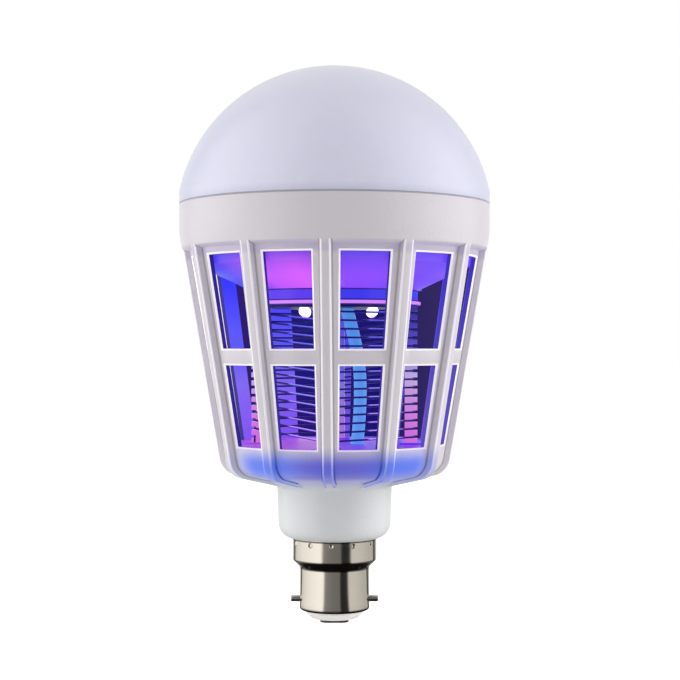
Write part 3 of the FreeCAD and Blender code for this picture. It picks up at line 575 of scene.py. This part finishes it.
def place_group():
    """Height in millimetres, shares to the right and to the front or back, and how far a face looks up."""
    group, tree, _, out = new_group(
        "place in the bulb", [],
        [("Height", "Float"), ("Right", "Float"), ("Front", "Float"), ("Upward", "Float")])
    spot = tree.axes(tree.object_place())
    flat = tree.node("ShaderNodeCombineXYZ", {"X": spot["X"], "Y": spot["Y"]}).outputs[0]
    direction = tree.axes(tree.node("ShaderNodeVectorMath", {0: flat}, operation="NORMALIZE").outputs[0])
    normal = tree.axes(tree.node("ShaderNodeNewGeometry").outputs["Normal"])
    hand_out(tree, out, Height=tree.product(spot["Z"], 1 / MM), Right=direction["X"],
             Front=tree.maths("ABSOLUTE", direction["Y"]), Upward=normal["Z"])
    return group


def moulding_group():
    """Faint uneven shade, gloss and skin of a moulded plastic surface."""
    group, tree, given, out = new_group(
        "moulded skin", [("Grain", "Float", 900.0), ("Depth", "Float", 0.0004)],
        [("Shade", "Float"), ("Gloss", "Float"), ("Normal", "Vector")])
    place = tree.object_place()
    fine = tree.noise(Vector=place, Scale=given["Grain"], Detail=3.0)
    broad = tree.noise(Vector=place, Scale=45.0, Detail=2.0)
    bump = tree.node("ShaderNodeBump", {"Strength": 0.25, "Distance": given["Depth"], "Height": fine})
    both = tree.maths("ADD", tree.product(fine, 0.5), tree.product(broad, 0.5))
    hand_out(tree, out, Shade=tree.spread(broad, 0.97, 1.02), Gloss=tree.spread(both, -0.06, 0.06),
             Normal=bump.outputs[0])
    return group


def bowl_glow_group():
    """Where the trap's painted light shines through the cage's foot: below the windows, to the front and the
    back.
    """
    group, tree, given, out = new_group(
        "bowl glow", [("Height", "Float", 0.0), ("Front", "Float", 0.0), ("Full", "Float", 50.0)],
        [("Mask", "Float")])
    below = tree.clamped(given["Height"], GLOW_END, given["Full"])
    hand_out(tree, out, Mask=tree.product(below, tree.clamped(given["Front"], 0.42, 0.72)))
    return group


def trap_light_group():
    """Base colour of a piece in the trap's painted light: its light colour mixed towards a painted shade,
    with the moulding's shade.
    """
    group, tree, given, out = new_group(
        "trap light", [("Colour", "Color", BLACK), ("Dimming", "Float", 0.6),
                       ("Dark", "Color", PAINTED_TRAP_SHADE), ("Shade", "Float", 1.0)],
        [("Surface", "Color")])
    dimmed = tree.mixed(given["Dimming"], given["Colour"], given["Dark"])
    hand_out(tree, out, Surface=shaded(tree, dimmed, given["Shade"]))
    return group


def shaded(tree, colour, shade):
    """Colour times a shade near 1."""
    return tree.node("ShaderNodeVectorMath", {0: colour, "Scale": shade}, operation="SCALE").outputs[0]


PLACE = place_group()
MOULDED = moulding_group()
BOWL_GLOW = bowl_glow_group()
TRAP_LIGHT = trap_light_group()


def new_material(name, **plain):
    """Material with one Principled shader whose plain values are set on its own sockets."""
    material = bpy.data.materials.new(name)
    material.use_nodes = True
    tree = Tree(material.node_tree)
    tree.tree.nodes.clear()
    shader = tree.node("ShaderNodeBsdfPrincipled")
    tree.node("ShaderNodeOutputMaterial", {"Surface": shader.outputs[0]})
    for name, value in plain.items():
        shader.inputs[name.replace("_", " ")].default_value = value
    return material, tree, shader


def connect(tree, shader, **links):
    """Links sockets to the shader's inputs."""
    for name, value in links.items():
        tree.tree.links.new(value, shader.inputs[name.replace("_", " ")])


def moulded(tree, shader, roughness, grain=900.0, depth=0.0004):
    """Gives a shader the moulded skin and returns the shade to multiply its colour by."""
    skin = tree.group(MOULDED, Grain=grain, Depth=depth)
    connect(tree, shader, Roughness=tree.maths("ADD", skin["Gloss"], roughness), Normal=skin["Normal"])
    return skin["Shade"]


def light_up(tree, shader, colour, dimming=0.6, **shade_inputs):
    """Paints a piece with a glow in the colour of the trap's light, over that colour darkened by painted
    shade.
    """
    surface = tree.group(TRAP_LIGHT, Colour=colour, Dimming=dimming, **shade_inputs)["Surface"]
    connect(tree, shader, Base_Color=surface, Emission_Color=colour)


def cage_plastic():
    """White moulding, tinted by the trap's painted light over the windows and with a painted glow on the
    bowl.
    """
    material, tree, shader = new_material(
        "cage plastic", IOR=1.49, Coat_Weight=0.15, Coat_Roughness=0.2, Emission_Strength=0.5)
    shade = moulded(tree, shader, 0.34)
    place = tree.group(PLACE)
    height = place["Height"]
    white = tree.mixed(tree.clamped(height, *NECK_TO_WALL), rgb(236, 238, 236), rgb(232, 227, 232))
    # Painted light: a lavender tint over the windows, where the trap's light would spill
    over_windows = tree.product(tree.clamped(height, *TINT_TOP), tree.clamped(height, *TINT_FOOT))
    tinted = tree.mixed(tree.product(over_windows, 0.4), white, rgb(190, 178, 226))
    mask = tree.group(BOWL_GLOW, Height=height, Front=place["Front"], Full=51.0)["Mask"]
    # Painted light: the bowl glows blue violet below the windows, to the front and the back
    glow = tree.product(tree.clamped(height, *GLOW_START), mask)
    side = tree.clamped(place["Front"], 0.99, 0.86)
    glow_colour = tree.mixed(side, rgb(84, 74, 196), rgb(52, 116, 244))
    surface = tree.mixed(glow, tinted, rgb(98, 104, 186))
    connect(tree, shader, Base_Color=shaded(tree, surface, shade),
            Emission_Color=tree.mixed(glow, BLACK, glow_colour))
    return material


def cage_lit_inside():
    """Inside of the cage, glowing in the ultraviolet lamps' painted light, bluer to the left."""
    material, tree, shader = new_material("cage lit inside", Emission_Strength=0.75)
    shade = moulded(tree, shader, 0.5)
    place = tree.group(PLACE)
    height = tree.clamped(place["Height"], *CAGE_INSIDE)
    left = tree.ramp(
        height, (0.0, rgb(130, 84, 236)), (0.3, rgb(136, 108, 236)), (0.55, rgb(98, 92, 236)),
        (0.75, rgb(90, 88, 240)), (1.0, rgb(48, 58, 236)))
    right = tree.ramp(height, (0.0, rgb(120, 80, 214)), (0.5, rgb(86, 74, 196)), (1.0, rgb(70, 58, 214)))
    colour = tree.mixed(tree.clamped(place["Right"], -0.3, 0.3), left, right)
    light_up(tree, shader, colour, dimming=0.55, Shade=shade)
    return material


def window_reveal():
    """Thickness of the moulding inside a window in the trap's painted light: painted navy shade to the left,
    lavender light to the right.
    """
    material, tree, shader = new_material("window reveal", Emission_Strength=0.7)
    shade = moulded(tree, shader, 0.5)
    place = tree.group(PLACE)
    right = tree.mixed(tree.clamped(place["Height"], *REVEAL_FADE), rgb(92, 78, 184), rgb(60, 46, 180))
    # Painted shade to the left of the windows and painted lavender light to the right
    colour = tree.mixed(tree.clamped(place["Right"], 0.3, 0.7), rgb(38, 24, 128), right)
    light_up(tree, shader, colour, Shade=shade)
    return material


def window_edge():
    """Bevelled rims of the windows, which catch the light, with a painted highlight glow that turns lavender
    low down.
    """
    material, tree, shader = new_material("window edge", Emission_Strength=0.3)
    shade = moulded(tree, shader, 0.3)
    height = tree.group(PLACE)["Height"]
    colour = tree.mixed(tree.clamped(height, *RIM_FADE), rgb(226, 214, 246), rgb(248, 244, 250))
    connect(tree, shader, Base_Color=shaded(tree, colour, shade), Emission_Color=colour)
    return material


def rib_edge():
    """Rounded edges of the ribs, with painted highlights brighter than their flats and the bowl's painted
    glow.
    """
    material, tree, shader = new_material("rib edge", IOR=1.49, Emission_Strength=0.16)
    shade = moulded(tree, shader, 0.25)
    place = tree.group(PLACE)
    glow = tree.group(BOWL_GLOW, Height=place["Height"], Front=place["Front"])["Mask"]
    colour = tree.mixed(glow, rgb(248, 245, 248), rgb(140, 156, 240))
    connect(tree, shader, Base_Color=shaded(tree, colour, shade), Emission_Color=colour)
    return material


def panel_corner():
    """Painted shade in the corner between a rib and the panel beside it, with the bowl's painted glow."""
    material, tree, shader = new_material("panel corner")
    shade = moulded(tree, shader, 0.4)
    place = tree.group(PLACE)
    glow = tree.group(BOWL_GLOW, Height=place["Height"], Front=place["Front"])["Mask"]
    colour = tree.mixed(glow, rgb(196, 190, 199), rgb(92, 98, 196))
    connect(tree, shader, Base_Color=shaded(tree, colour, shade))
    return material


def seam_groove():
    """Painted shade on the top edge of the band, where the dome meets it."""
    material, tree, shader = new_material("seam groove")
    shade = moulded(tree, shader, 0.5)
    colour = tree.mixed(shade, rgb(202, 198, 206), rgb(208, 204, 212))
    connect(tree, shader, Base_Color=shaded(tree, colour, shade))
    return material


def dome_plastic():
    """Opal plastic that spreads the light through the dome, with a painted glow over its front and a painted
    shade line at its foot.
    """
    material, tree, shader = new_material(
        "opal dome", IOR=1.49, Subsurface_Weight=0.15, Subsurface_Scale=0.004, Emission_Strength=0.12)
    shade = moulded(tree, shader, 0.3, grain=1400.0, depth=0.0002)
    place = tree.group(PLACE)
    height = place["Height"]
    colour = tree.mixed(tree.clamped(height, *DOME_FADE), rgb(224, 225, 243), rgb(216, 217, 232))
    # Painted shade: a dark line at the dome's foot, by the seam
    colour = tree.mixed(tree.clamped(height, SEAM + 0.45, SEAM + 0.25), colour, rgb(192, 191, 205))
    # Painted light: a glow over the dome's front, which evens it with its sides
    even = tree.product(tree.clamped(place["Front"], 0.2, 0.9), tree.clamped(height, SEAM, SEAM + 3.0))
    connect(tree, shader, Base_Color=shaded(tree, colour, shade),
            Emission_Color=tree.mixed(even, BLACK, colour))
    return material


def tray_plastic():
    """Ceiling of the trap in the trap's painted light: blue to the left, pink to violet in front, with a blue
    hub and a pink lip, and painted shade under the lip.
    """
    material, tree, shader = new_material("tray lit violet", Emission_Strength=0.72)
    shade = moulded(tree, shader, 0.45)
    place = tree.group(PLACE)
    height = place["Height"]
    side = tree.clamped(place["Right"], -1.0, 1.0)
    near = tree.ramp(
        side, (0.0, rgb(60, 60, 230)), (0.03, rgb(120, 74, 238)), (0.1, rgb(204, 92, 248)),
        (0.3, rgb(230, 102, 250)), (0.44, rgb(208, 96, 250)), (0.52, rgb(150, 82, 248)),
        (0.8, rgb(146, 82, 248)), (1.0, rgb(122, 76, 242)))
    far = tree.ramp(
        side, (0.0, rgb(48, 58, 228)), (0.12, rgb(122, 66, 232)), (0.4, rgb(122, 66, 232)),
        (0.52, rgb(98, 66, 240)), (1.0, rgb(104, 70, 238)))
    ceiling = tree.mixed(tree.clamped(height, *CEILING_RISE), near, far)
    hub = tree.mixed(tree.clamped(place["Right"], -0.5, 0.2), rgb(94, 58, 228), rgb(62, 56, 230))
    colour = tree.mixed(tree.clamped(height, TRAY_HUB_TOP - 0.05, TRAY_HUB_TOP + 0.05), hub, ceiling)
    joint = tree.product(tree.clamped(height, TRAY_HUB_TOP - 0.5, TRAY_HUB_TOP - 0.2),
                         tree.clamped(height, TRAY_HUB_TOP + 0.2, TRAY_HUB_TOP - 0.1))
    colour = tree.mixed(joint, colour, rgb(40, 22, 130))
    lip_shadow = tree.clamped(height, TRAY_LIP_TOP + 0.5, TRAY_LIP_TOP + 0.3)
    colour = tree.mixed(lip_shadow, colour, rgb(44, 22, 130))
    lip = tree.clamped(height, TRAY_LIP_TOP + 0.05, TRAY_LIP_TOP - 0.1)
    colour = tree.mixed(lip, colour, rgb(222, 142, 248))
    # Painted shade on the lip's underside
    underside = tree.clamped(height, TRAY_LIP_LOW + 0.2, TRAY_LIP_LOW + 0.1)
    colour = tree.mixed(underside, colour, rgb(46, 28, 120))
    light_up(tree, shader, colour, Shade=shade)
    return material


def base_plastic():
    """Floor of the trap, glowing in its painted light, pinker to the left."""
    material, tree, shader = new_material("base lit pink", Emission_Strength=0.6)
    shade = moulded(tree, shader, 0.4)
    right = tree.group(PLACE)["Right"]
    colour = tree.mixed(tree.clamped(right, -0.4, 0.4), rgb(172, 86, 214), rgb(112, 58, 226))
    light_up(tree, shader, colour, dimming=0.5, Shade=shade)
    return material


def comb_plastic():
    """Comb posts glowing in the trap's painted light, blue violet at their heads and pinker towards the base.
    """
    material, tree, shader = new_material("comb lit violet", Emission_Strength=0.62)
    shade = moulded(tree, shader, 0.4)
    place = tree.group(PLACE)
    height = tree.clamped(place["Height"], *GRID)
    inner = tree.ramp(
        height, (0.0, rgb(184, 132, 226)), (0.3, rgb(150, 138, 226)), (0.6, rgb(118, 110, 226)),
        (1.0, rgb(98, 92, 230)))
    outer = tree.ramp(
        height, (0.0, rgb(236, 128, 230)), (0.25, rgb(226, 162, 232)), (0.5, rgb(218, 196, 240)),
        (0.8, rgb(112, 96, 214)), (1.0, rgb(70, 58, 170)))
    colour = tree.mixed(tree.clamped(tree.maths("ABSOLUTE", place["Right"]), 0.5, 0.9), inner, outer)
    light_up(tree, shader, colour, Shade=shade)
    return material


def wire_metal():
    """Drawn wire with painted light: bright on top where the grid's front stands before the dark, and painted
    navy shade elsewhere.
    """
    material, tree, shader = new_material("grid wire", Metallic=0.3, Emission_Strength=0.85)
    place = tree.group(PLACE)
    drawn = tree.noise(Scale=700.0)
    height = tree.clamped(place["Height"], *GRID)
    bright = tree.ramp(height, (0.0, rgb(190, 140, 240)), (0.4, rgb(140, 136, 240)), (1.0, rgb(96, 102, 234)))
    spot = tree.axes(tree.object_place())
    across = tree.held(spot["X"], -GRID_HALF_WIDTH * MM, GRID_HALF_WIDTH * MM)
    # Painted highlight: bands across the grid where the front wires stand before the dark
    caught = tree.ramp(across, (0.21, BLACK), (0.23, WHITE), (0.46, WHITE), (0.48, BLACK), (0.7, BLACK),
                       (0.72, WHITE), (0.9, WHITE), (0.94, BLACK))
    # Painted light on the wires' tops and painted shade under them, by the way the faces look
    lit = tree.mixed(tree.clamped(place["Upward"], -0.3, 0.3), rgb(16, 8, 110), bright)
    near = tree.product(caught, tree.clamped(spot["Y"], 0.002, -0.002))
    colour = tree.mixed(near, rgb(14, 6, 96), lit)
    light_up(tree, shader, colour, dimming=0.5, Dark=rgb(10, 6, 40))
    connect(tree, shader, Roughness=tree.spread(drawn, 0.25, 0.45))
    return material


def sleeve_rubber():
    """Sleeve of the lamps' leads, glowing pale blue in the trap's painted light."""
    material, tree, shader = new_material("sleeve", Emission_Strength=0.6)
    shade = moulded(tree, shader, 0.35)
    height = tree.group(PLACE)["Height"]
    colour = tree.mixed(tree.clamped(height, *SLEEVE), rgb(100, 170, 242), rgb(88, 160, 240))
    light_up(tree, shader, colour, dimming=0.5, Dark=rgb(10, 10, 50), Shade=shade)
    return material


def cap_metal():
    """Bright nickel with faint scuffs and slightly uneven plating, with painted dark reflections at its ends
    and its shoulder.
    """
    material, tree, shader = new_material("nickel", Metallic=1.0)
    place = tree.object_place()
    stretched = tree.node("ShaderNodeMapping", {"Vector": place, "Scale": (1.0, 1.0, 6.0)}).outputs[0]
    scuff = tree.noise(Vector=stretched, Scale=260.0, Detail=4.0)
    broad = tree.noise(Vector=place, Scale=60.0)
    plate = tree.mixed(broad, rgb(222, 215, 204), rgb(231, 226, 216))
    height = tree.group(PLACE)["Height"]
    # Painted reflection: the ends and the shoulder darkened where the metal would mirror dark surroundings
    ends = tree.maths("MAXIMUM", tree.clamped(height, *CAP_FOOT), tree.clamped(height, *CAP_BRIM))
    shoulder = tree.product(tree.clamped(height, *SHOULDER_FOOT), tree.clamped(height, *SHOULDER_TOP))
    colour = tree.mixed(tree.maths("MAXIMUM", ends, shoulder), plate, rgb(98, 94, 90))
    bump = tree.node("ShaderNodeBump", {"Strength": 0.08, "Distance": 0.0001, "Height": scuff}).outputs[0]
    connect(tree, shader, Base_Color=colour, Roughness=tree.spread(scuff, 0.09, 0.18), Normal=bump)
    return material


def speckled(name, first, second, roughness, metallic=0.0, glow=0.0):
    """Plain finish of a small part, with a fine speckle and a painted glow where one is given."""
    material, tree, shader = new_material(
        name, Metallic=metallic, Emission_Color=first, Emission_Strength=glow)
    noise = tree.noise(Scale=500.0, Detail=3.0)
    bump = tree.node("ShaderNodeBump", {"Strength": 0.15, "Distance": 0.0001, "Height": noise}).outputs[0]
    connect(tree, shader, Base_Color=tree.mixed(noise, first, second),
            Roughness=tree.spread(noise, roughness - 0.06, roughness + 0.06), Normal=bump)
    return material


def white_lamp_resin():
    """Yellow resin of the white lamps' chips."""
    material, tree, shader = new_material("white lamp resin", Roughness=0.2, Emission_Strength=0.2)
    noise = tree.noise(Scale=900.0)
    yellow = rgb(244, 214, 110)
    connect(tree, shader, Base_Color=tree.mixed(noise, yellow, WHITE),
            Emission_Color=tree.mixed(tree.product(noise, 0.3), yellow, rgb(255, 240, 255)))
    return material


def lamp_glass():
    """Lit ultraviolet lamp, white hot with a pink underside."""
    material, tree, shader = new_material("ultraviolet lamp", Roughness=0.2, Emission_Strength=1.6)
    pink = tree.mixed(tree.noise(Scale=900.0), rgb(232, 150, 246), rgb(244, 180, 252))
    upward = tree.group(PLACE)["Upward"]
    colour = tree.mixed(tree.clamped(upward, -0.85, -0.55), pink, rgb(255, 250, 255))
    connect(tree, shader, Base_Color=colour, Emission_Color=colour)
    return material


def build_lamps():
    """Four rounded ultraviolet lamps under the hub."""
    points = []
    faces = []
    rings = 12
    steps = 24
    for lamp in range(LAMP_COUNT):
        turn = math.radians(LAMP_AZIMUTH) + lamp * 2 * math.pi / LAMP_COUNT
        x, y, z = around(LAMP_CIRCLE, turn, LAMP_LEVEL)
        x += LAMP_SHIFT * MM
        first = len(points)
        for ring in range(rings + 1):
            lift = math.pi * (ring / rings - 0.5)
            reach = LAMP_RADIUS * MM * math.cos(lift)
            for step in range(steps):
                angle = 2 * math.pi * step / steps
                points.append((x + reach * math.cos(angle), y + reach * math.sin(angle),
                               z + LAMP_RISE * MM * math.sin(lift)))
        for ring in range(rings):
            for step in range(steps):
                beside = (step + 1) % steps
                low = first + ring * steps
                faces.append((low + step, low + beside, low + steps + beside, low + steps + step))
    lamps = finish_mesh("ultraviolet_lamps", points, faces, [lamp_glass()])
    stand_for(lamps, "uv_leds")


def dress_nodes():
    """Gives the nodes of the frame their materials."""
    screws = ["lamp_board_screws", "uv_board_screws", "base_screws"]
    finishes = {
        tray_plastic(): ["light_tray"],
        base_plastic(): ["grid_base"],
        comb_plastic(): ["comb_post_front", "comb_post_right", "comb_post_rear", "comb_post_left"],
        wire_metal(): ["grid_wire_live", "grid_wire_return"],
        sleeve_rubber(): ["lead_sleeve"],
        cap_metal(): ["cap_shell"],
        dome_plastic(): ["diffuser_dome"],
        speckled("pin plate", rgb(222, 216, 200), rgb(232, 228, 216), 0.2, 1.0):
            ["bayonet_pin_left", "bayonet_pin_right"],
        speckled("tinned contact", rgb(150, 146, 138), rgb(176, 172, 164), 0.35, 1.0):
            ["contact_front", "contact_rear"],
        # Painted light: the insulator glows to lift it out of the shade at the cap's foot
        speckled("pale insulator", rgb(240, 237, 230), rgb(246, 244, 240), 0.35, glow=0.3): ["cap_insulator"],
        speckled("lamp board lacquer", rgb(230, 230, 226), rgb(240, 240, 238), 0.4): ["lamp_board"],
        speckled("zinc plate", rgb(170, 172, 176), rgb(196, 198, 202), 0.3, 1.0): screws,
        speckled("circuit board", rgb(30, 92, 58), rgb(44, 110, 70), 0.4): ["driver_board"],
        speckled("trap board lacquer", rgb(40, 24, 104), rgb(58, 36, 130), 0.4): ["uv_board"],
        speckled("dark moulding", rgb(26, 26, 30), rgb(40, 40, 44), 0.45):
            ["bridge_rectifier", "multiplier_diodes"],
        speckled("blue dip", rgb(30, 70, 150), rgb(42, 86, 168), 0.3):
            ["multiplier_capacitors", "fuse_resistor"],
        speckled("brown film box", rgb(140, 40, 26), rgb(160, 54, 36), 0.35): ["film_capacitor"],
        speckled("can sleeve", rgb(24, 28, 40), rgb(36, 40, 54), 0.35): ["smoothing_capacitor"],
        speckled("lead cover", rgb(180, 180, 178), rgb(200, 200, 198), 0.45):
            ["contact_lead_front", "contact_lead_rear"],
        white_lamp_resin(): ["white_leds"],
    }
    for material, names in finishes.items():
        for name in names:
            mesh = nodes[name].data
            mesh.materials.clear()
            mesh.materials.append(material)


# Camera, light and ground

FLOOR_REACH = 6.0
CARD_DISTANCE = 0.75
CARD_HALF_WIDTH = 0.12        # the width that the card's colours are spread over
LIGHT_TARGET = Vector((0.0, 0.0, 0.09))

# Light level by azimuth in degrees: at 0 behind the camera, at both ends beyond the bulb
PANEL_LEVELS = (
    (-180, 0.85), (-146, 0.8), (-141, 0.04), (-133, 0.04), (-127, 0.72), (-95, 0.98), (-40, 1.18),
    (-35, 1.12), (-29, 0.23), (-5, 0.17), (16, 0.16), (19, 0.0), (40, 0.0), (46, 0.68), (70, 0.64),
    (110, 0.5), (124, 0.55), (129, 0.03), (139, 0.03), (145, 0.55), (180, 0.85),
)


def add_camera():
    data = bpy.data.cameras.new("camera")
    data.sensor_width = SENSOR
    data.lens = SENSOR * VIEW_DISTANCE / VIEW_WIDTH
    data.shift_y = (PICTURE_CENTRE_Z - VIEW_HEIGHT) / VIEW_WIDTH
    data.clip_end = 20
    camera = place_object("camera", data)
    camera.location = (PICTURE_CENTRE_X, -VIEW_DISTANCE, VIEW_HEIGHT)
    camera.rotation_euler = (math.radians(90), 0, 0)
    bpy.context.scene.camera = camera


def studio_levels():
    """Warm white panels and dark gaps of a studio, by azimuth."""
    group, tree, given, out = new_group(
        "studio panels", [("Direction", "Vector", (0.0, 0.0, 0.0))], [("Colour", "Color")])
    axes = tree.axes(given["Direction"])
    turn = tree.maths("ARCTAN2", axes["X"], tree.product(axes["Y"], -1.0))
    place = tree.maths("ADD", tree.product(turn, 0.5 / math.pi), 0.5)
    stops = []
    for angle, level in PANEL_LEVELS:
        stops.append(((angle + 180) / 360, (level, level * 0.985, level * 0.95, 1.0)))
    hand_out(tree, out, Colour=tree.ramp(place, *stops))
    return group


PANELS = studio_levels()


def seen_by_eye(tree, path):
    """1 for what the camera sees, directly or through a piece."""
    return tree.maths("MAXIMUM", path["Is Camera Ray"], path["Is Transmission Ray"])


def add_world():
    """White sky to the eye, soft fill for the surfaces, and studio panels in the metal."""
    world = bpy.data.worlds.new("studio")
    bpy.context.scene.world = world
    world.use_nodes = True
    tree = Tree(world.node_tree)
    tree.tree.nodes.clear()
    path = tree.node("ShaderNodeLightPath").outputs
    direction = tree.node("ShaderNodeTexCoord").outputs["Generated"]
    side = tree.maths("POWER", tree.maths("ABSOLUTE", tree.axes(direction)["X"]), 2.0)
    fill = tree.mixed(side, (0.31, 0.3, 0.31, 1.0), (1.36, 1.36, 1.38, 1.0))
    fill = tree.mixed(path["Is Glossy Ray"], fill, tree.group(PANELS, Direction=direction)["Colour"])
    colour = tree.mixed(seen_by_eye(tree, path), fill, WHITE)
    sky = tree.node("ShaderNodeBackground", {"Color": colour, "Strength": 1.0})
    tree.node("ShaderNodeOutputWorld", {"Surface": sky.outputs[0]})


def add_area(name, place, size, power):
    """Soft light that looks at the bulb and isn't seen itself."""
    light = bpy.data.lights.new(name, "AREA")
    light.shape = "RECTANGLE"
    light.size, light.size_y = size
    light.energy = power
    lamp = place_object(name, light)
    lamp.location = place
    lamp.rotation_euler = (LIGHT_TARGET - Vector(place)).to_track_quat("-Z", "Y").to_euler()
    lamp.visible_camera = False
    lamp.visible_glossy = False


def add_lights():
    add_area("left softbox", (-1.1, 0.1, 0.25), (0.9, 1.2), 6.3)
    add_area("right softbox", (1.1, 0.1, 0.25), (0.9, 1.2), 7.9)
    add_area("top softbox", (0.0, 0.25, 1.2), (0.9, 0.7), 1.4)


def flat_sheet(name, corners, material):
    """Flat sheet through four corners."""
    mesh = bpy.data.meshes.new(name)
    mesh.from_pydata(corners, [], [(0, 1, 2, 3)])
    mesh.materials.append(material)
    return place_object(name, mesh)


def floor_paint():
    """White to the eye; in the metal's reflections, a painted dark patch under the bulb and the studio's
    panels further out.
    """
    material, tree, shader = new_material("pale floor", Roughness=0.9, Emission_Strength=1.0)
    path = tree.node("ShaderNodeLightPath").outputs
    spot = tree.object_place()
    away = tree.node("ShaderNodeVectorMath", {0: spot}, operation="LENGTH").outputs["Value"]
    panels = tree.group(PANELS, Direction=spot)["Colour"]
    # Painted reflection: dark under the bulb, then the studio's panels, seen only in glossy rays
    mirrored = tree.mixed(tree.clamped(away, 0.024, 0.036), grey(0.02), panels)
    glow = tree.mixed(seen_by_eye(tree, path), BLACK, grey(0.62))
    pale = tree.mixed(tree.noise(Scale=6.0), grey(0.84), grey(0.86))
    connect(tree, shader, Base_Color=tree.mixed(path["Is Glossy Ray"], pale, BLACK),
            Emission_Color=tree.mixed(path["Is Glossy Ray"], glow, mirrored))
    return material


def add_floor():
    """White floor that takes the bulb's soft shadow."""
    reach = FLOOR_REACH
    corners = [(-reach, -reach, 0), (reach, -reach, 0), (reach, reach, 0), (-reach, reach, 0)]
    floor = flat_sheet("floor", corners, floor_paint())


def painted_shade_paint():
    """Painted shade seen through the windows: a dim violet glow, bluest in its middle."""
    material = bpy.data.materials.new("painted shade card")
    material.use_nodes = True
    tree = Tree(material.node_tree)
    tree.tree.nodes.clear()
    across = tree.held(tree.axes(tree.object_place())["X"], -CARD_HALF_WIDTH, CARD_HALF_WIDTH)
    shade_colours = tree.ramp(
        across, (0.0, rgb(50, 38, 110)), (0.24, rgb(46, 28, 112)), (0.36, rgb(34, 24, 118)),
        (0.66, rgb(28, 18, 110)), (0.8, rgb(50, 40, 96)), (1.0, rgb(54, 42, 100)))
    strength = tree.maths("ADD", tree.product(tree.noise(Scale=9.0), 0.2), 0.9)
    glow = tree.node("ShaderNodeEmission", {"Color": shade_colours, "Strength": strength})
    tree.node("ShaderNodeOutputMaterial", {"Surface": glow.outputs[0]})
    return material


def add_painted_shade_card():
    """Card of painted shade far behind the bulb, just hidden by it, that darkens the view through its
    windows.
    """
    scale = (VIEW_DISTANCE + CARD_DISTANCE) / VIEW_DISTANCE
    corners = []
    for side, z in ((-1, SILL - 1.0), (1, SILL - 1.0), (1, CONE_TOP), (-1, CONE_TOP)):
        across = PICTURE_CENTRE_X + (side * (cone_radius(z) - 1.2) * MM - PICTURE_CENTRE_X) * scale
        corners.append((across, CARD_DISTANCE, VIEW_HEIGHT + (z * MM - VIEW_HEIGHT) * scale))
    card = flat_sheet("painted_shade_card", corners, painted_shade_paint())
    for ray in ("diffuse", "glossy", "transmission", "volume_scatter", "shadow"):
        setattr(card, "visible_" + ray, False)


add_camera()
add_world()
add_lights()
add_floor()
dress_nodes()
build_cage([cage_plastic(), cage_lit_inside(), window_edge(), window_reveal(), rib_edge(), panel_corner(),
            seam_groove()])
build_lamps()
add_painted_shade_card()

bpy.context.scene.view_settings.view_transform = "Standard"
